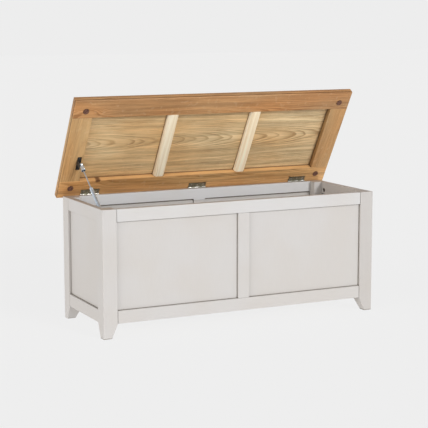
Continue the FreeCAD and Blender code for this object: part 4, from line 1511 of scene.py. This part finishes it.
@dataclass
class GasStay:
    """The gas stay at the left end: cylinder, rod, end fittings and brackets."""

    tube_radius: float = 6.3 * MM
    tube_bore: float = 5.5 * MM
    crimp_depth: float = 0.45 * MM
    head_width: float = 9.0 * MM
    bell_radius: float = 7.7 * MM
    bell_bore: float = 6.7 * MM
    bell_depth: float = 20.5 * MM
    bell_core: float = 1.9 * MM
    head_edge: float = 0.8 * MM
    ball_room: float = 0.1 * MM
    door_radius: float = 3.0 * MM

    def build(self) -> None:
        """Make the cylinder and the upper socket, and dress the rest."""
        self.make_cylinder()
        self.make_upper_socket()
        for node, finish in (("case_bracket", "zinc"), ("case_screws", "zinc"), ("case_ball", "zinc"),
                             ("lid_ball", "zinc"), ("lid_bracket", "black"), ("lid_screws", "black"),
                             ("lower_socket", "lacquer"), ("rod", "chrome"), ("piston", "chrome"),
                             ("rod_guide", "plastic")):
            dress_node("stay_" + node, HARDWARE[finish])

    def line(self) -> tuple[Vector, Vector]:
        """A point at the case ball and the direction of the stay."""
        return Vector(JOINT["stay_swing"]["pos_m"]), Vector(JOINT["stay_slide"]["axis"]).normalized()

    def make_cylinder(self) -> None:
        """The lacquered tube: a closed round end, a crimp near the mouth and a rolled lip."""
        start, mouth = self.reach("stay_cylinder")
        radius, bore, crimp = self.tube_radius, self.tube_bore, self.crimp_depth
        outline = [(bore, start + 3 * MM), (bore, mouth - 0.4 * MM), (bore + 0.3 * MM, mouth),
                   (radius - 0.3 * MM, mouth), (radius, mouth - 0.5 * MM), (radius, mouth - 7 * MM),
                   (radius - crimp, mouth - 7.6 * MM), (radius - crimp, mouth - 8.6 * MM),
                   (radius, mouth - 9.2 * MM), (radius, start + 1.5 * MM),
                   (radius - 0.5 * MM, start + 0.4 * MM), (radius - 1.5 * MM, start)]
        tube = turn_piece("stay_tube", outline, sides=56)
        shade(tube, 35)
        finish_piece(move_mesh(tube, self.stance()), "stay_cylinder", HARDWARE["lacquer"])

    def make_upper_socket(self) -> None:
        """The bell that snaps on the lid's ball: a round head that flares to its open mouth."""
        low, high = self.reach("stay_upper_socket")
        ball_low, ball_high = self.reach("stay_lid_ball")
        centre, wide = (ball_low + ball_high) / 2, self.head_width / 2
        outer, bore, rim = self.bell_radius, self.bell_bore, self.head_edge
        core = self.bell_core
        bell = turn_piece("stay_bell", [
            (bore, low), (outer - rim / 2, low), (outer, low + 0.5 * MM), (outer, low + 2.2 * MM),
            (outer - rim / 2, low + 3 * MM), (outer - rim / 2, low + 20 * MM),
            (outer - rim, low + 21.5 * MM), (wide + 0.2 * MM, low + 26 * MM), (wide, centre - 1 * MM),
            (core, centre - 2 * MM), (core, low + self.bell_depth), (bore, low + self.bell_depth)],
            ring=True, sides=56)
        radius = high - centre
        head = turn_piece("head", [(radius - rim, -wide), (radius, rim - wide), (radius, wide - rim),
                                   (radius - rim, wide)], sides=48)
        across = Matrix.Translation((0, 0, centre)) @ Matrix.Rotation(math.pi / 2, 4, "Y")
        build_on(bell, [move_mesh(head, across)])
        put_down_all()
        ball_radius = (ball_high - ball_low) / 2 + self.ball_room
        bpy.ops.mesh.primitive_uv_sphere_add(radius=ball_radius, segments=32, ring_count=16,
                                             location=(0, 0, centre))
        bpy.ops.object.transform_apply(location=True)
        seat = name_piece("seat")
        door = turn_piece("door", [(self.door_radius, 0.0), (self.door_radius, 2 * wide)], sides=32)
        back = Matrix.Translation((0, 0, centre)) @ Matrix.Rotation(-math.pi / 2, 4, "Y")
        carve(bell, [seat, move_mesh(door, back)])
        shade(bell, 35)
        finish_piece(move_mesh(bell, self.stance()), "stay_upper_socket", HARDWARE["lacquer"])

    def stance(self) -> Matrix:
        """The stay's own frame: its z runs from the case ball to the lid ball, its x along the bench.

        Returns:
            The place of that frame.
        """
        ball, way = self.line()
        side = Axis.X.unit()
        turn = Matrix((side, way.cross(side), way)).transposed().to_4x4()
        return Matrix.Translation(ball) @ turn

    def reach(self, node: str) -> tuple[float, float]:
        """How far a node of the stay reaches along it from the case ball.

        Args:
            node: the node's name.

        Returns:
            Its two ends, nearest first.
        """
        ball, way = self.line()
        along = [(Vector(v.co) - ball).dot(way) for v in frame["nodes"][node].data.vertices]
        return min(along), max(along)


# ---------------------------------------------------------------------------------------------
# Finishes of the metal and moulded parts, each made once

HARDWARE = {
    "zinc": MetalFinish("bright_zinc", (0.62, 0.62, 0.61), 0.30).build(),
    "plate": MetalFinish("bright_plate", (0.72, 0.70, 0.66), 0.28, 0.40).build(),
    # A darker olive copy of the plate, for the lid leaves: painted shade.
    "darkened": MetalFinish("plate_painted_shade", (0.32, 0.305, 0.235), 0.36, 0.50).build(),
    "black": MetalFinish("satin_black", (0.020, 0.019, 0.018), 0.42, 0.2, 0.0).build(),
    "chrome": MetalFinish("polished_rod", (0.56, 0.60, 0.66), 0.16, 0.1, 0.85).build(),
    "lacquer": MetalFinish("silver_lacquer", (0.60, 0.68, 0.77), 0.28, 0.04, 0.70).build(),
    "bronze": MetalFinish("dark_cam_metal", (0.20, 0.17, 0.14), 0.45, 0.5).build(),
    "plastic": MouldedFinish("black_plastic", (0.02, 0.02, 0.02), (0.035, 0.035, 0.035)).build(),
}


# ---------------------------------------------------------------------------------------------
# Studio


@dataclass(frozen=True)
class SoftLamp:
    """A broad soft light from far off: where it shines from, its spread in degrees and its power."""

    name: str
    source: Point
    spread: float
    power: float
    tint: Colour = (1.0, 1.0, 1.0)

    def build(self) -> None:
        """Hang the light in the studio."""
        light = bpy.data.lights.new(self.name, "SUN")
        light.angle, light.energy, light.color = math.radians(self.spread), self.power, self.tint
        lamp = bpy.data.objects.new(self.name, light)
        bpy.context.scene.collection.objects.link(lamp)
        lamp.location = self.source
        lamp.rotation_euler = (-Vector(self.source)).to_track_quat("-Z", "Y").to_euler()


@dataclass
class Studio:
    """Floor, backdrop, light and camera."""

    camera_spot: Point = (-2.1161, -4.2967, 1.0833)
    camera_yaw: float = 26.059
    camera_pitch: float = 8.528
    camera_roll: float = 0.075
    lens: float = 112.07
    sky: float = 0.847
    air: tuple[tuple[float, float], ...] = ((0.06, 1.0), (0.20, 0.95), (0.60, 0.70), (0.92, 0.18))
    lamps: tuple[SoftLamp, ...] = (SoftLamp("key", (1.2, -4.0, 1.6), 14, 1.38),
                                   SoftLamp("fill", (-4.0, -1.0, 0.6), 50, 1.60, (1.0, 0.96, 0.91)))

    def build(self) -> None:
        """Set the studio up."""
        self.make_floor()
        self.light_room()
        self.stand_camera()

    def make_floor(self) -> None:
        """A wide pale floor."""
        put_down_all()
        bpy.ops.mesh.primitive_plane_add(size=60, location=(0, 0, 0))
        floor = name_piece("floor")
        with editing(floor, "FACE"):
            bpy.ops.mesh.select_all(action="SELECT")
            bpy.ops.mesh.subdivide(number_cuts=3)
        floor.data.materials.append(BackdropFinish("pale_floor").build())

    def light_room(self) -> None:
        """Soft lamps, and air that is brightest all round and dimmer overhead."""
        world = bpy.data.worlds.new("studio_air")
        bpy.context.scene.world = world
        world.use_nodes = True
        nodes, links = world.node_tree.nodes, world.node_tree.links
        way = nodes.new("ShaderNodeTexCoord")
        split = nodes.new("ShaderNodeSeparateXYZ")
        ramp = nodes.new("ShaderNodeValToRGB")
        links.new(way.outputs["Generated"], split.inputs[0])
        links.new(split.outputs[2], ramp.inputs["Fac"])
        links.new(ramp.outputs["Color"], nodes["Background"].inputs["Color"])
        nodes["Background"].inputs["Strength"].default_value = self.sky
        fill_ramp(ramp.color_ramp, self.air)
        for lamp in self.lamps:
            lamp.build()
        view = bpy.context.scene.view_settings
        view.view_transform, view.look = "Standard", "None"

    def stand_camera(self) -> None:
        """A long lens in front of the bench, to its left and a little above it."""
        data = bpy.data.cameras.new("camera")
        data.lens, data.sensor_width, data.sensor_fit = self.lens, 36.0, "HORIZONTAL"
        data.clip_end = 200
        camera = bpy.data.objects.new("camera", data)
        bpy.context.scene.collection.objects.link(camera)
        turn = Matrix.Rotation(-math.radians(self.camera_yaw), 4, "Z") \
            @ Matrix.Rotation(math.radians(90 - self.camera_pitch), 4, "X") \
            @ Matrix.Rotation(-math.radians(self.camera_roll), 4, "Z")
        camera.matrix_world = Matrix.Translation(self.camera_spot) @ turn
        bpy.context.scene.camera = camera


def dress_hidden_wood() -> None:
    """Dress the battens under the floor board."""
    pine = PineFinish("pine_batten", Grain.ALONG, on_lid=False).build()
    for side in ("front", "back", "left", "right"):
        dress_node("floor_batten_" + side, pine)


def main() -> None:
    """Build the bench and its studio in order."""
    logging.basicConfig(level=logging.INFO, format="%(name)s: %(message)s")
    Case().build()
    dress_hidden_wood()
    Lid().build()
    Hinges().build()
    GasStay().build()
    Studio().build()
    LOG.info("%d nodes of the frame, all dressed or replaced", len(frame["nodes"]))


if __name__ == "__main__":
    main()
